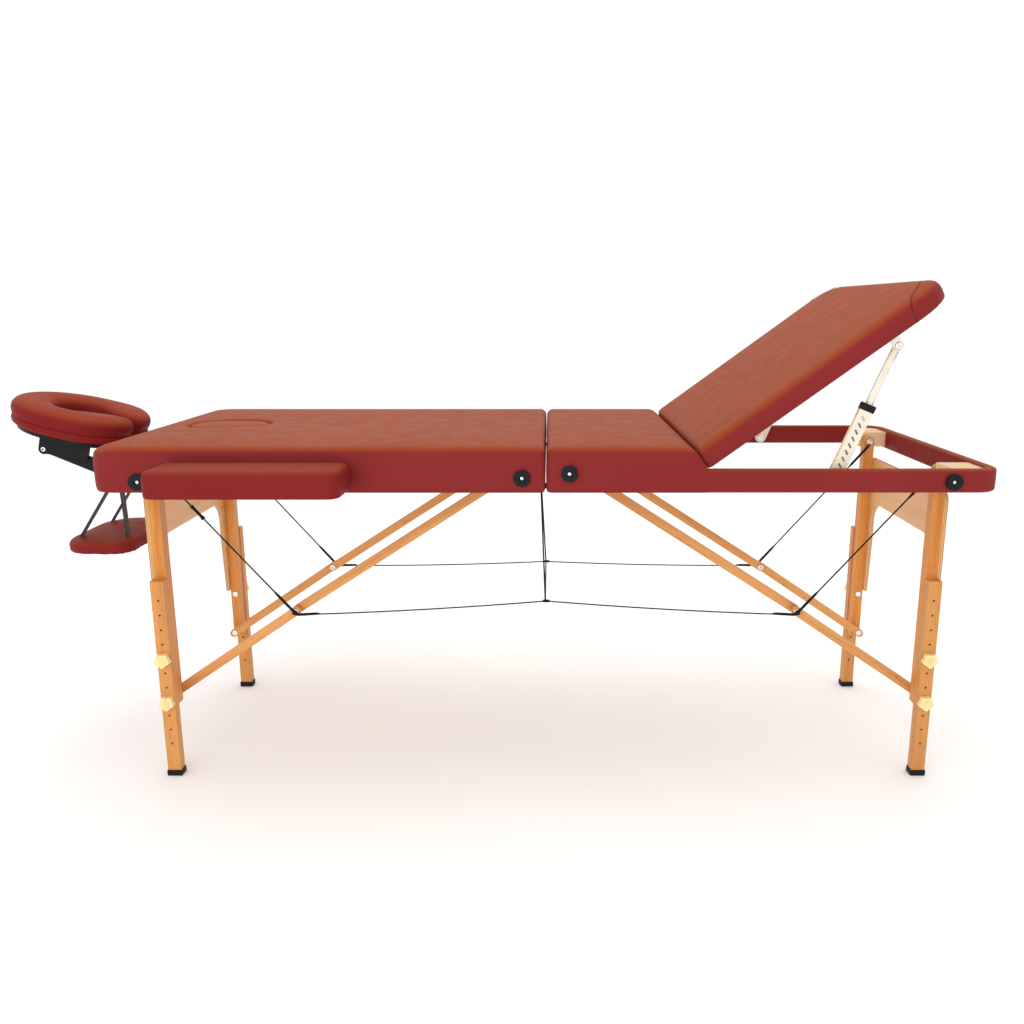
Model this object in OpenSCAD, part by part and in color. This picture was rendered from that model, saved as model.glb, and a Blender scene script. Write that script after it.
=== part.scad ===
// Portable massage table, three sections, wooden frame, folding in half like a case.
// +X points to the foot end, +Z up, and the floor is at Z = 0. X = 0 is the middle of the
// whole length with the face cradle. Each half is drawn with X as the distance from the
// fold, and the head half is the mirror image of the foot half.

/* [Table] */
// Length of each half, from the fold to the end
half_len = 925; // [900:5:940]
// Width of the table over the rails
width = 700; // [690:5:730]
// Height of the underside of the frame above the floor
under_z = 682; // [660:2:700]
// Height of the frame rails
rail_h = 46; // [46:1:50]
// Thickness of the side rails
rail_t = 22; // [18:1:24]
// Thickness of the end boards
end_t = 20; // [16:1:22]
// Radius of the table's rounded corners
corner_r = 50; // [45:1:60]
// Thickness of the padding above the rails
pad_t = 48; // [40:1:60]
// Length of the seat pad
seat_len = 300; // [290:1:302]

/* [Backrest] */
// Angle of the backrest above flat, at its top notch
back_angle = 36.3; // [30:0.1:37]
// Length of the backrest pad
back_len = 587; // [560:1:590]
// Length of the notched channel above its pivot
channel_len = 170; // [150:1:172]

/* [Legs] */
// Distance of each leg from the fold
leg_d = 850; // [845:1:855]
// Distance of the lower legs' centres from the centreline
leg_y = 243.3; // [240:0.1:246]
// Pitch of the height holes
hole_pitch = 34; // [30:1:34]
// Height of the upper knob's bolt
knob_z = 283.6; // [280:0.1:290]
// Height of the top of the lower leg
lower_top_z = 463.4; // [455:0.1:465]

/* [Face cradle] */
// Length of the horseshoe pad
cradle_len = 275; // [265:1:290]
// Width of the horseshoe pad
cradle_w = 290; // [270:1:300]
// Thickness of the horseshoe pad
cradle_t = 58; // [45:1:62]
// Slope of the pad, rising away from the table
cradle_slope = 13.6; // [10:0.1:15]

/* [Armrests] */
// Length of each side armrest
armrest_len = 376; // [360:1:400]
// Width of each side armrest
armrest_w = 120; // [100:1:140]

/* [Hidden] */

$fn = 48;
eps = 0.3;                 // gap between pieces that move past each other
run = 0.05;                // radial clearance of a running fit

half_w = width / 2;
rail_z = under_z + rail_h;
top_z = rail_z + pad_t;
inner_y = half_w - rail_t;

// the fold: rails stop short of it, and the hinge barrels lie under the inner end boards
rail_gap = 1.5;
board_gap = 5;
pad_gap = 1;
fold_z = under_z - 2;
fold_pin_r = 2.2;
fold_barrel_r = 4.4;
fold_hinge_y = 290;
fold_hinge_w = 60;
leaf_t = 1.5;
leaf_len = 40;

deck_t = 4;
deck_z = rail_z - deck_t;
plug_l = 185;
plug_w = 140;
plug_d = 754;

// legs: the upper leg is the inner one, and the lower leg slides on its outer face
upper_x = 25;
upper_y = 28;
lower_x = 30;
lower_y = 22;
lower_in = leg_y - lower_y / 2;
lower_out = leg_y + lower_y / 2;
upper_out = lower_in - eps;
upper_in = upper_out - upper_y;
leg_pivot_z = under_z + 22;
low_knob_z = knob_z - 3 * hole_pitch;
upper_foot_z = low_knob_z - 17;
leg_hole_r = 2.75;
holes_above = 4;
holes_below = 6;
stud_r = 3;
cap_h = 8;
cap_lip = 6;
cap_wall = 2;
pivot_r = 4;
bolt_head_r = 8;
bolt_head_t = 3;

// arched plywood panel across each pair of legs
panel_t = 9;
panel_top = under_z - 22;
panel_foot = 295;
arch_top = 545;
arch_half_w = 185;
arch_r = 52;
tip_half_w = 196;

// two-piece braces, folded flat and in line when the legs are tucked in
brace_h = 20;
brace_t = 12;
low_brace_y = 178;
up_brace_y = 161.5;
brace_end = 15;
knuckle_end = 12;
brace_d = 60;
brace_z = under_z + 19;
knuckle_slack = 0.03;
bd_x = leg_d - brace_d;
bd_z = brace_z - low_knob_z;
bd = sqrt(bd_x * bd_x + bd_z * bd_z);
fold_reach = leg_pivot_z - low_knob_z;
fd_x = leg_d - fold_reach - brace_d;
fd_z = leg_pivot_z - brace_z;
fd = sqrt(fd_x * fd_x + fd_z * fd_z);
low_brace_len = (bd - fd) / 2 + knuckle_slack;
up_brace_len = low_brace_len + fd;
knuckle_along = (bd * bd + low_brace_len * low_brace_len - up_brace_len * up_brace_len) / (2 * bd);
knuckle_rise = sqrt(low_brace_len * low_brace_len - knuckle_along * knuckle_along);
knuckle_d = leg_d - bd_x / bd * knuckle_along + bd_z / bd * knuckle_rise;
knuckle_z = low_knob_z + bd_z / bd * knuckle_along + bd_x / bd * knuckle_rise;
up_brace_angle = atan2(brace_z - knuckle_z, knuckle_d - brace_d);
low_brace_angle = atan2(knuckle_z - low_knob_z, leg_d - knuckle_d);

// wooden blocks in the corners and beside the fold
block_d = leg_d - 15;
block_y = 234;
brace_block_d = 40;
brace_block_l = 60;
brace_block_y = 174;
brace_block_w = 40;
block_z = under_z + 4;

// backrest hinge, ratchet arm ends and section
hinge_d = 330;
hinge_z = rail_z - 5;
hinge_r = 4;
hinge_y = 100;
hinge_w = 80;
hinge_pin_r = 2;
rail_mid_w = 150;
rail_end_y = 276;
back_start = 3;
back_under = 6;
board_t = 8;
back_w = 696;
back_r = 85;
arm_y = 308;
arm_w = 12;
arm_q_x = 447;
arm_q_z = -17;
arm_p_d = 588;
arm_p_z = under_z + 18;
q_d = hinge_d + arm_q_x * cos(back_angle) - arm_q_z * sin(back_angle);
q_z = hinge_z + arm_q_x * sin(back_angle) + arm_q_z * cos(back_angle);
arm_len = sqrt((q_d - arm_p_d) * (q_d - arm_p_d) + (q_z - arm_p_z) * (q_z - arm_p_z));
arm_angle = atan2(q_z - arm_p_z, q_d - arm_p_d);
bar_len = 170;
bar_h = 16;
bar_t = 5;
arm_pin_r = 3;
channel_h = 28;
notch_pitch = 15;
notches = 9;

// face cradle: two posts in the head end board, arms, and a tilting platform
post_r = 6;
post_y = 75;
post_z = under_z + 21;
post_in = 800;
bar_d = 1010;
bar_w = 20;
arm1_d = 1020;
arm1_z = under_z + 4;
arm2_d = 1148;
arm2_z = under_z + 50;
cradle_arm_y = 88;
cradle_arm_t = 6;
cradle_out = 118;
plate_z = 31;
plate_t = 10;
pad_base = 42;
cradle_hole_w = 126;
cradle_slot_w = 30;
slot_len = 52;
tip_r = 100;
side_plate_l = 100;

// arm shelf hung from the cradle's posts by two straps
shelf_d = 1045;
shelf_l = 170;
shelf_w = 280;
shelf_r = 45;
shelf_z = 492;
shelf_t = 28;
strap_d = 997;
strap_w = 18;
strap_t = 2;
strap_gap = 1;
strap_drop = 26;
strap_out = 55;
strap_in = 58;

// armrests beside the head half
armrest_d = 578;
armrest_y = half_w + 2;
armrest_z = under_z + 12;
armrest_base_t = 12;
armrest_t = 42;
peg_r = 5;
peg_z = under_z + 18;
peg_spacing = 240;
tab_spacing = 274;
peg_in = 305;

// steel stay cables
cable_r = 1.5;
stay_y = 197;
near_dip_z = 400;
far_dip_z = 378;

bumper_r = 17;
bumper_t = 10;
bumper_z = under_z + 22;
head_bumper_rise = 8;
foot_bumper_rise = 17;
bumper_outer = 822;
bumper_inner = 48;

// whole length, which places the fold along X
cradle_tip = arm2_d + cradle_out * cos(cradle_slope) - pad_base * sin(cradle_slope);
fold_x = (cradle_tip - half_len) / 2;

vinyl = "#9b3f35";
beech = "#d99a55";
ply = "#d8ad78";
steel = "#cfccc2";
black = "#1c1c1e";
cream = "#e9d58c";

// ---------- placing and shape helpers ----------

// one half: side 1 is the foot half, side -1 the head half
module at_half(side)
    translate([fold_x, 0, 0])
        if (side > 0) children();
        else mirror([1, 0, 0]) children();

// side 1 is the right-hand side of a person lying face up, at -Y
module at_side(side)
    if (side > 0) mirror([0, 1, 0]) children();
    else children();

module both_sides() {
    children();
    mirror([0, 1, 0]) children();
}

// bar along +Y from y0, w long
module rod_y(d, y0, z, r, w) translate([d, y0, z]) rotate([-90, 0, 0]) cylinder(r = r, h = w);

// straight round rod between two points
module rod(a, b, r) {
    v = b - a;
    run_xy = sqrt(v[0] * v[0] + v[1] * v[1]);
    translate(a)
        rotate([0, atan2(run_xy, v[2]), atan2(v[1], v[0])])
            cylinder(r = r, h = norm(v));
}

// rectangle from x0 to x1, symmetric in Y, with its two far corners rounded
module end_rounded(x0, x1, hw, r) {
    translate([x0, -hw]) square([x1 - x0 - r, 2 * hw]);
    translate([x0, -hw + r]) square([x1 - x0, 2 * (hw - r)]);
    for (s = [-1, 1]) translate([x1 - r, s * (hw - r)]) circle(r = r);
}

module stadium(l, w) {
    square([l - w, w], center = true);
    for (s = [-1, 1]) translate([s * (l - w) / 2, 0]) circle(r = w / 2);
}

module round_rect(l, w, r) {
    square([l - 2 * r, w], center = true);
    square([l, w - 2 * r], center = true);
    for (sx = [-1, 1], sy = [-1, 1]) translate([sx * (l / 2 - r), sy * (w / 2 - r)]) circle(r = r);
}

// flat bar in the XZ plane with round ends, from the origin along +X, w thick along +Y
module link(len, h, w, start, end)
    rotate([90, 0, 0]) translate([0, 0, -w]) linear_extrude(w) {
        translate([-start, -h / 2]) translate([h / 2, 0]) square([len + start + end - h, h]);
        translate([-start + h / 2, 0]) circle(r = h / 2);
        translate([len + end - h / 2, 0]) circle(r = h / 2);
    }

// ---------- the two halves of the case ----------

module half_frame_ring()
    translate([0, 0, under_z]) linear_extrude(rail_h)
        difference() {
            end_rounded(rail_gap, half_len, half_w, corner_r);
            translate([board_gap + end_t, -inner_y])
                square([half_len - board_gap - 2 * end_t, 2 * inner_y]);
            translate([0, -inner_y]) square([board_gap, 2 * inner_y]);
        }

module head_frame() color(vinyl) at_half(-1)
    difference() {
        half_frame_ring();
        // sockets of the face cradle's posts
        for (s = [-1, 1])
            translate([half_len - end_t - 1, s * post_y, post_z]) rotate([0, 90, 0])
                cylinder(r = post_r + run, h = end_t + 2);
        // sockets of the armrest pegs
        for (s = [-1, 1], k = [-1, 1])
            rod_y(armrest_d + k * peg_spacing / 2, s * (half_w - rail_t / 2) - rail_t / 2 - 1,
                  peg_z, peg_r + run, rail_t + 2);
    }

module foot_frame() color(vinyl) at_half(1) half_frame_ring();

module deck(d0, d1)
    translate([0, 0, deck_z]) linear_extrude(deck_t)
        difference() {
            translate([d0, -inner_y]) square([d1 - d0, 2 * inner_y]);
            translate([plug_d, 0]) stadium(plug_l + 2 * eps, plug_w + 2 * eps);
        }

module head_deck() color(ply) at_half(-1) deck(board_gap + end_t, half_len - end_t);

module seat_deck() color(ply) at_half(1) deck(board_gap + end_t, seat_len);

module head_pad() color(vinyl) at_half(-1)
    translate([0, 0, rail_z]) linear_extrude(pad_t)
        difference() {
            end_rounded(pad_gap, half_len, half_w, corner_r);
            translate([plug_d, 0]) stadium(plug_l + 2 * eps, plug_w + 2 * eps);
        }

module face_hole_plug() color(vinyl) at_half(-1)
    translate([plug_d, 0, deck_z]) linear_extrude(deck_t + pad_t) stadium(plug_l, plug_w);

module seat_pad() color(vinyl) at_half(1)
    translate([pad_gap, -half_w, rail_z]) cube([seat_len - pad_gap, width, pad_t]);

// cross rail that carries the backrest's hinges, shallow where the tucked legs pass under it
module hinge_rail() color(beech) at_half(1)
    translate([hinge_d - 27, 0, 0]) {
        translate([0, -inner_y, rail_z - 6.5]) cube([20, 2 * inner_y, 5.5]);
        translate([0, -rail_mid_w, block_z]) cube([20, 2 * rail_mid_w, rail_z - block_z - 1]);
        both_sides() translate([0, rail_end_y, block_z])
            cube([20, inner_y - rail_end_y, rail_z - block_z - 1]);
    }

module half_blocks() both_sides() {
    difference() {
        translate([block_d, block_y, block_z])
            cube([half_len - end_t - block_d, inner_y - block_y, deck_z - block_z]);
        rod_y(leg_d, block_y - 1, leg_pivot_z, pivot_r, inner_y - block_y + 2);
    }
    difference() {
        translate([brace_block_d, brace_block_y, block_z])
            cube([brace_block_l, brace_block_w, deck_z - block_z]);
        rod_y(brace_d, brace_block_y - 1, brace_z, pivot_r, brace_block_w + 2);
    }
}

module head_blocks() color(beech) at_half(-1) half_blocks();

module foot_blocks() color(beech) at_half(1) half_blocks();

// pivot bolts of the legs and of the upper braces
module half_bolts() both_sides() {
    rod_y(leg_d, upper_in - bolt_head_t - eps, leg_pivot_z, pivot_r, inner_y - upper_in - 4);
    rod_y(leg_d, upper_in - bolt_head_t - eps, leg_pivot_z, bolt_head_r, bolt_head_t);
    rod_y(brace_d, up_brace_y - bolt_head_t - eps, brace_z, pivot_r, 50);
    rod_y(brace_d, up_brace_y - bolt_head_t - eps, brace_z, bolt_head_r, bolt_head_t);
}

// the foot half also carries the round feet of the ratchet arms' pivots
module foot_bolts() color(steel) at_half(1) {
    half_bolts();
    both_sides()
        rod_y(arm_p_d, arm_y + arm_w + eps, arm_p_z, 12, inner_y - arm_y - arm_w - eps);
}

// one fold hinge: leaf with barrel, at barrel positions y0 and w long
module fold_leaf(y0, w)
    difference() {
        union() {
            translate([fold_barrel_r - 1.4, y0, under_z - leaf_t])
                cube([leaf_len, w, leaf_t]);
            rod_y(0, y0, fold_z, fold_barrel_r, w);
        }
        rod_y(0, y0 - 1, fold_z, fold_pin_r + run, w + 2);
    }

// the head half's pivot bolts and its leaves of the fold hinges
module head_hardware() color(steel) at_half(-1) {
    half_bolts();
    both_sides() {
        fold_leaf(fold_hinge_y - fold_hinge_w / 2, fold_hinge_w / 3 - eps);
        fold_leaf(fold_hinge_y + fold_hinge_w / 6 + eps, fold_hinge_w / 3 - eps);
    }
}

// the foot half's fold leaves, and the fixed leaves and pins of the backrest hinges
module foot_hinge_leaves() color(steel) at_half(1) both_sides() {
    fold_leaf(fold_hinge_y - fold_hinge_w / 6, fold_hinge_w / 3);
    for (y = [hinge_y - hinge_w / 2, hinge_y + hinge_w / 4 + eps]) {
        rod_y(hinge_d, y, hinge_z, hinge_r, hinge_w / 4 - eps);
        translate([hinge_d - hinge_r - 3, y, hinge_z - 24])
            cube([hinge_r - 0.2, hinge_w / 4 - eps, 24]);
    }
    rod_y(hinge_d, hinge_y - hinge_w / 2, hinge_z, hinge_pin_r, hinge_w);
}

module fold_pins() color(steel) at_half(1) both_sides()
    rod_y(0, fold_hinge_y - fold_hinge_w / 2, fold_z, fold_pin_r, fold_hinge_w);

// rubber bumper on the side that the closed case stands on
module bumper(d, z)
    difference() {
        rod_y(d, -half_w - bumper_t, z, bumper_r, bumper_t);
        rod_y(d, -half_w - bumper_t - 1, z, 5, 5);
    }

module head_bumpers() color(black) at_half(-1) {
    bumper(bumper_outer, bumper_z);
    bumper(bumper_inner, bumper_z + head_bumper_rise);
}

module foot_bumpers() color(black) at_half(1) {
    bumper(bumper_outer, bumper_z);
    bumper(bumper_inner, bumper_z + foot_bumper_rise);
}

// ---------- legs ----------

module upper_legs() both_sides()
    difference() {
        union() {
            translate([leg_d - upper_x / 2, upper_in, upper_foot_z])
                cube([upper_x, upper_y, leg_pivot_z - upper_foot_z]);
            rod_y(leg_d, upper_in, leg_pivot_z, upper_x / 2, upper_y);
        }
        rod_y(leg_d, upper_in - 1, leg_pivot_z, pivot_r + run, upper_y + 2);
        for (z = [knob_z, low_knob_z]) rod_y(leg_d, upper_in - 1, z, stud_r, upper_y + 2);
    }

module head_upper_legs() color(beech) at_half(-1) upper_legs();

module foot_upper_legs() color(beech) at_half(1) upper_legs();

// arched panel, drawn flat with Y across and Z up, then stood on the legs' outer face
module leg_panel()
    translate([leg_d + upper_x / 2, 0, 0])
        rotate([90, 0, 90]) linear_extrude(panel_t)
            difference() {
                translate([0, (panel_top + panel_foot) / 2])
                    round_rect(2 * upper_out - 1, panel_top - panel_foot, 25);
                translate([0, arch_top - 150]) square([2 * arch_half_w, 300 - 2 * arch_r], center = true);
                translate([0, arch_top - 150]) square([2 * (arch_half_w - arch_r), 300], center = true);
                for (s = [-1, 1]) translate([s * (arch_half_w - arch_r), arch_top - arch_r])
                    circle(r = arch_r);
                polygon([[-arch_half_w, arch_top - 2 * arch_r], [arch_half_w, arch_top - 2 * arch_r],
                         [tip_half_w, panel_foot - 10], [-tip_half_w, panel_foot - 10]]);
            }

module head_leg_panel() color(ply) at_half(-1) leg_panel();

module foot_leg_panel() color(ply) at_half(1) leg_panel();

// studs of the knobs: the lower one also carries the lower brace
module leg_studs() both_sides() {
    rod_y(leg_d, upper_in - bolt_head_t, knob_z, bolt_head_r - 1, bolt_head_t);
    rod_y(leg_d, upper_in, knob_z, stud_r, upper_y);
    rod_y(leg_d, low_brace_y - bolt_head_t, low_knob_z, bolt_head_r - 1, bolt_head_t - eps);
    rod_y(leg_d, low_brace_y - bolt_head_t, low_knob_z, stud_r, upper_out - low_brace_y + bolt_head_t);
    difference() {
        rod_y(leg_d, low_brace_y + brace_t + eps, low_knob_z, bolt_head_r,
              upper_in - low_brace_y - brace_t - eps);
        rod_y(leg_d, low_brace_y, low_knob_z, stud_r, upper_in - low_brace_y);
    }
}

module head_leg_studs() color(steel) at_half(-1) leg_studs();

module foot_leg_studs() color(steel) at_half(1) leg_studs();

module lower_leg(end, side) color(beech) at_half(end) at_side(side)
    difference() {
        translate([leg_d - lower_x / 2, lower_in, cap_h])
            cube([lower_x, lower_y, lower_top_z - cap_h]);
        for (i = [-holes_below:holes_above])
            rod_y(leg_d, lower_in - 1, knob_z + i * hole_pitch, leg_hole_r, lower_y + 2);
    }

module foot_cap(end, side) color(black) at_half(end) at_side(side)
    difference() {
        translate([leg_d - lower_x / 2 - cap_wall, lower_in - cap_wall, 0])
            cube([lower_x + 2 * cap_wall, lower_y + 2 * cap_wall, cap_h + cap_lip]);
        translate([leg_d - lower_x / 2, lower_in, cap_h])
            cube([lower_x, lower_y, cap_lip + 1]);
    }

// five-lobed knob on the outer face of the lower leg
module star_knob(end, side, z) color(cream) at_half(end) at_side(side)
    translate([leg_d, lower_out + eps, z]) rotate([-90, 0, 0]) {
        linear_extrude(14) {
            circle(r = 13.8);
            for (i = [0:4]) rotate(i * 72 + 18) translate([11, 0]) circle(r = 5.8);
        }
        cylinder(r = 8, h = 17);
    }

// ---------- braces and cables ----------

module upper_braces() both_sides() {
    difference() {
        translate([brace_d, up_brace_y, brace_z]) rotate([0, up_brace_angle, 0])
            link(up_brace_len, brace_h, brace_t, brace_end, knuckle_end);
        rod_y(brace_d, up_brace_y - 1, brace_z, pivot_r + run, brace_t + 2);
        rod_y(knuckle_d, up_brace_y - 1, knuckle_z, 3, brace_t + 2);
    }
    // knuckle bolt with its head on the inner face and a washer between the braces
    rod_y(knuckle_d, up_brace_y - bolt_head_t, knuckle_z, 3, brace_t + bolt_head_t + 3);
    rod_y(knuckle_d, up_brace_y - bolt_head_t, knuckle_z, bolt_head_r - 1, bolt_head_t);
    rod_y(knuckle_d, up_brace_y + brace_t, knuckle_z, bolt_head_r, 3);
}

module head_upper_braces() color(beech) at_half(-1) upper_braces();

module foot_upper_braces() color(beech) at_half(1) upper_braces();

module lower_braces() both_sides() {
    difference() {
        translate([leg_d, low_brace_y, low_knob_z]) rotate([0, 180 + low_brace_angle, 0])
            mirror([0, 0, 1]) link(low_brace_len, brace_h, brace_t, brace_end, knuckle_end);
        rod_y(leg_d, low_brace_y - 1, low_knob_z, stud_r + run, brace_t + 2);
        rod_y(knuckle_d, low_brace_y - 1, knuckle_z, 3, brace_t + 2);
    }
    rod_y(knuckle_d, low_brace_y, knuckle_z, 3, brace_t + bolt_head_t);
    rod_y(knuckle_d, low_brace_y + brace_t, knuckle_z, bolt_head_r - 1, bolt_head_t);
}

module head_lower_braces() color(beech) at_half(-1) lower_braces();

module foot_lower_braces() color(beech) at_half(1) lower_braces();

// cables of one half: leg top to knuckle, and knuckle to the middle of the span
module half_stays() {
    for (s = [-1, 1]) {
        dip = s < 0 ? near_dip_z : far_dip_z;
        rod([leg_d, s * stay_y, leg_pivot_z - 6], [knuckle_d, s * stay_y, knuckle_z], cable_r);
        rod([knuckle_d, s * stay_y, knuckle_z - 5], [1, s * stay_y, dip], cable_r);
    }
}

module head_stays() color(black) at_half(-1) half_stays();

module foot_stays() color(black) at_half(1) half_stays();

// two drop cables at the fold, and the cable that links their lower ends
module drop_stays() color(black) at_half(-1) {
    rod([15, 0, under_z - 2], [2.5, -stay_y + 3, near_dip_z + 3], cable_r);
    rod([15, 0, under_z - 2], [2.5, stay_y - 3, far_dip_z + 3], cable_r);
    rod([2.5, -stay_y + 3, near_dip_z], [2.5, stay_y - 3, far_dip_z], cable_r);
}

// ---------- backrest and ratchet arms ----------

// backrest pieces are drawn flat, with the hinge axis at the origin, then raised
module raised() at_half(1) translate([hinge_d, 0, hinge_z]) rotate([0, -back_angle, 0]) children();

module backrest_board() color(ply) raised()
    translate([0, 0, back_under]) linear_extrude(board_t)
        end_rounded(back_start, back_len - 8, back_w / 2 - 8, back_r - 8);

module backrest_pad() color(vinyl) raised()
    translate([0, 0, back_under + board_t]) linear_extrude(top_z - hinge_z - back_under - board_t)
        end_rounded(back_start, back_len, back_w / 2, back_r);

// hinge leaves with barrels, and the brackets that hold the ratchet bars
module backrest_hinges() color(steel) raised() {
    both_sides() difference() {
        union() {
            translate([0, hinge_y - hinge_w / 4, back_under - 3]) cube([42, hinge_w / 2, 3]);
            rod_y(0, hinge_y - hinge_w / 4, 0, hinge_r, hinge_w / 2);
        }
        rod_y(0, hinge_y - hinge_w, 0, hinge_pin_r + run, 2 * hinge_w);
    }
    both_sides() {
        translate([arm_q_x - 10, arm_y + arm_w - 2, arm_q_z]) cube([20, 3, back_under - arm_q_z]);
        rod_y(arm_q_x, arm_y + arm_w - 2, arm_q_z, 10, 3);
        rod_y(arm_q_x, arm_y - 2, arm_q_z, arm_pin_r, arm_w + 1);
        translate([arm_q_x - 16, arm_y - 2, back_under - 2]) cube([32, arm_w + 3, 2]);
    }
}

// ratchet pieces are drawn along +X from the upper pivot towards the lower one
module along_arm() at_half(1) translate([q_d, 0, q_z]) rotate([0, 180 - arm_angle, 0]) children();

module ratchet_bars() color(steel) both_sides() along_arm()
    difference() {
        union() {
            translate([0, arm_y + (arm_w - bar_t) / 2, 0]) link(bar_len, bar_h, bar_t, 8, 0);
            rod_y(0, arm_y + 1, 0, 9, arm_w - 4);
        }
        rod_y(0, arm_y - 1, 0, arm_pin_r + run, arm_w + 2);
        // the groove that makes the bar look like two rods
        translate([20, arm_y + (arm_w - bar_t) / 2 - 1, -2]) cube([bar_len - 40, 2.5, 4]);
    }

module ratchet_channels() color(steel) both_sides() along_arm()
    difference() {
        union() {
            translate([arm_len - channel_len, arm_y, -channel_h / 2])
                cube([channel_len, arm_w, channel_h]);
            rod_y(arm_len, arm_y, 0, channel_h / 2, arm_w);
        }
        // the space that the bar slides in
        translate([arm_len - channel_len - 1, arm_y + 2, -bar_h / 2 - 1])
            cube([channel_len + 1 - 12, arm_w - 4, bar_h + 2]);
        // a row of slanted notches through the outer wall
        for (i = [0:notches - 1])
            translate([arm_len - 24 - i * notch_pitch, arm_y + arm_w - 3, -3]) rotate([0, 40, 0])
                cube([4, 4, 11]);
    }

// ---------- face cradle ----------

// two posts joined by a cross block, with pivot pins for the arms at its ends
module cradle_posts() color(black) at_half(-1) {
    for (s = [-1, 1]) translate([post_in, s * post_y, post_z]) rotate([0, 90, 0])
        cylinder(r = post_r, h = bar_d - post_in + 1);
    translate([bar_d, -cradle_arm_y + eps, arm1_z - 12])
        cube([bar_w, 2 * (cradle_arm_y - eps), post_z + 8 - arm1_z + 12]);
    both_sides() rod_y(arm1_d, cradle_arm_y - 1, arm1_z, 4, cradle_arm_t + 3);
}

module cradle_arms() color(black) at_half(-1) both_sides() {
    len = sqrt((arm2_d - arm1_d) * (arm2_d - arm1_d) + (arm2_z - arm1_z) * (arm2_z - arm1_z));
    difference() {
        translate([arm1_d, cradle_arm_y, arm1_z])
            rotate([0, -atan2(arm2_z - arm1_z, arm2_d - arm1_d), 0])
                rotate([90, 0, 0]) translate([0, 0, -cradle_arm_t]) linear_extrude(cradle_arm_t) {
                    circle(r = 18);
                    translate([len, 0]) circle(r = 10);
                    polygon([[0, 18], [0, -18], [len, -10], [len, 10]]);
                }
        rod_y(arm1_d, cradle_arm_y - 1, arm1_z, 4 + run, cradle_arm_t + 2);
    }
    rod_y(arm2_d, cradle_arm_y, arm2_z, 3, 18);
}

// the cradle's head is drawn level with its tilt axis at the origin, then sloped
module sloped() at_half(-1) translate([arm2_d, 0, arm2_z]) rotate([0, -cradle_slope, 0]) children();

// horseshoe whose round hole narrows to a slot, open towards the table
module horseshoe(inset) {
    r = cradle_w / 2 - inset;
    hr = cradle_hole_w / 2 + inset;
    sr = cradle_slot_w / 2 + inset;
    xc = cradle_out - cradle_w / 2;
    x0 = cradle_out - cradle_len + inset;
    xs = cradle_out - cradle_len + slot_len;
    neck = sqrt(hr * hr - 400) - 1;
    er = tip_r - inset;
    difference() {
        union() {
            translate([xc, 0]) circle(r = r, $fn = 96);
            translate([x0 + er, -r]) square([xc - x0 - er, 2 * r]);
            translate([x0, er - r]) square([er, 2 * (r - er)]);
            for (s = [-1, 1]) translate([x0 + er, s * (r - er)]) circle(r = er);
        }
        translate([xc, 0]) circle(r = hr);
        polygon([[xc - 20, neck], [xs - 2, sr - 1.5], [xs - 2, 1.5 - sr], [xc - 20, -neck]]);
        translate([x0 - 50, -sr]) square([xs - x0 + 60, 2 * sr]);
    }
}

// the platform, with a side plate beyond each arm
module cradle_platform() color(black) sloped() {
    translate([0, 0, plate_z]) linear_extrude(plate_t) horseshoe(14);
    both_sides() difference() {
        union() {
            translate([0, cradle_arm_y + cradle_arm_t + 1, 0])
                rotate([90, 0, 0]) translate([0, 0, -8]) linear_extrude(8)
                    polygon([[12, plate_z + 1], [-side_plate_l, plate_z + 1], [-side_plate_l, -2],
                             [-6, -10], [12, 0]]);
            rod_y(0, cradle_arm_y + cradle_arm_t + 1, 0, 12, 8);
        }
        rod_y(0, cradle_arm_y, 0, 3 + run, 30);
    }
}

module cradle_pad() color(vinyl) sloped()
    translate([0, 0, pad_base]) linear_extrude(cradle_t) horseshoe(0);

// ---------- arm shelf ----------

module shelf_pad() color(vinyl) at_half(-1)
    translate([shelf_d, 0, shelf_z]) linear_extrude(shelf_t)
        round_rect(shelf_l, shelf_w, shelf_r);

// each strap loops loosely round a post and drops, and its two ends spread to the shelf
module shelf_straps() color(black) at_half(-1) both_sides() {
    loop_r = post_r + 3;
    loop_z = post_z + post_r + strap_gap - loop_r;
    top = loop_z - loop_r;
    low = top - strap_drop;
    foot = shelf_z + shelf_t;
    translate([strap_d - strap_w / 2, post_y, loop_z]) rotate([0, 90, 0]) difference() {
        cylinder(r = loop_r + strap_t, h = strap_w);
        translate([0, 0, -1]) cylinder(r = loop_r, h = strap_w + 2);
    }
    translate([strap_d - 5, post_y - strap_w / 2, low]) cube([10, strap_w, strap_drop - 0.5]);
    translate([0, post_y + strap_w / 2, 0]) rotate([90, 0, 0]) linear_extrude(strap_w) {
        polygon([[strap_d + 1, low + 1], [strap_d + 5, low + 1], [shelf_d + strap_out, foot],
                 [shelf_d + strap_out - strap_t * 1.4, foot]]);
        polygon([[strap_d - 1, low + 1], [strap_d - 5, low + 1], [shelf_d - strap_in, foot],
                 [shelf_d - strap_in + strap_t * 1.4, foot]]);
    }
}

// ---------- armrests ----------

module armrest_pad(side) color(vinyl) at_half(-1) at_side(side)
    translate([armrest_d, armrest_y + armrest_w / 2, armrest_z + armrest_base_t])
        linear_extrude(armrest_t) round_rect(armrest_len, armrest_w, 25);

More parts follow.
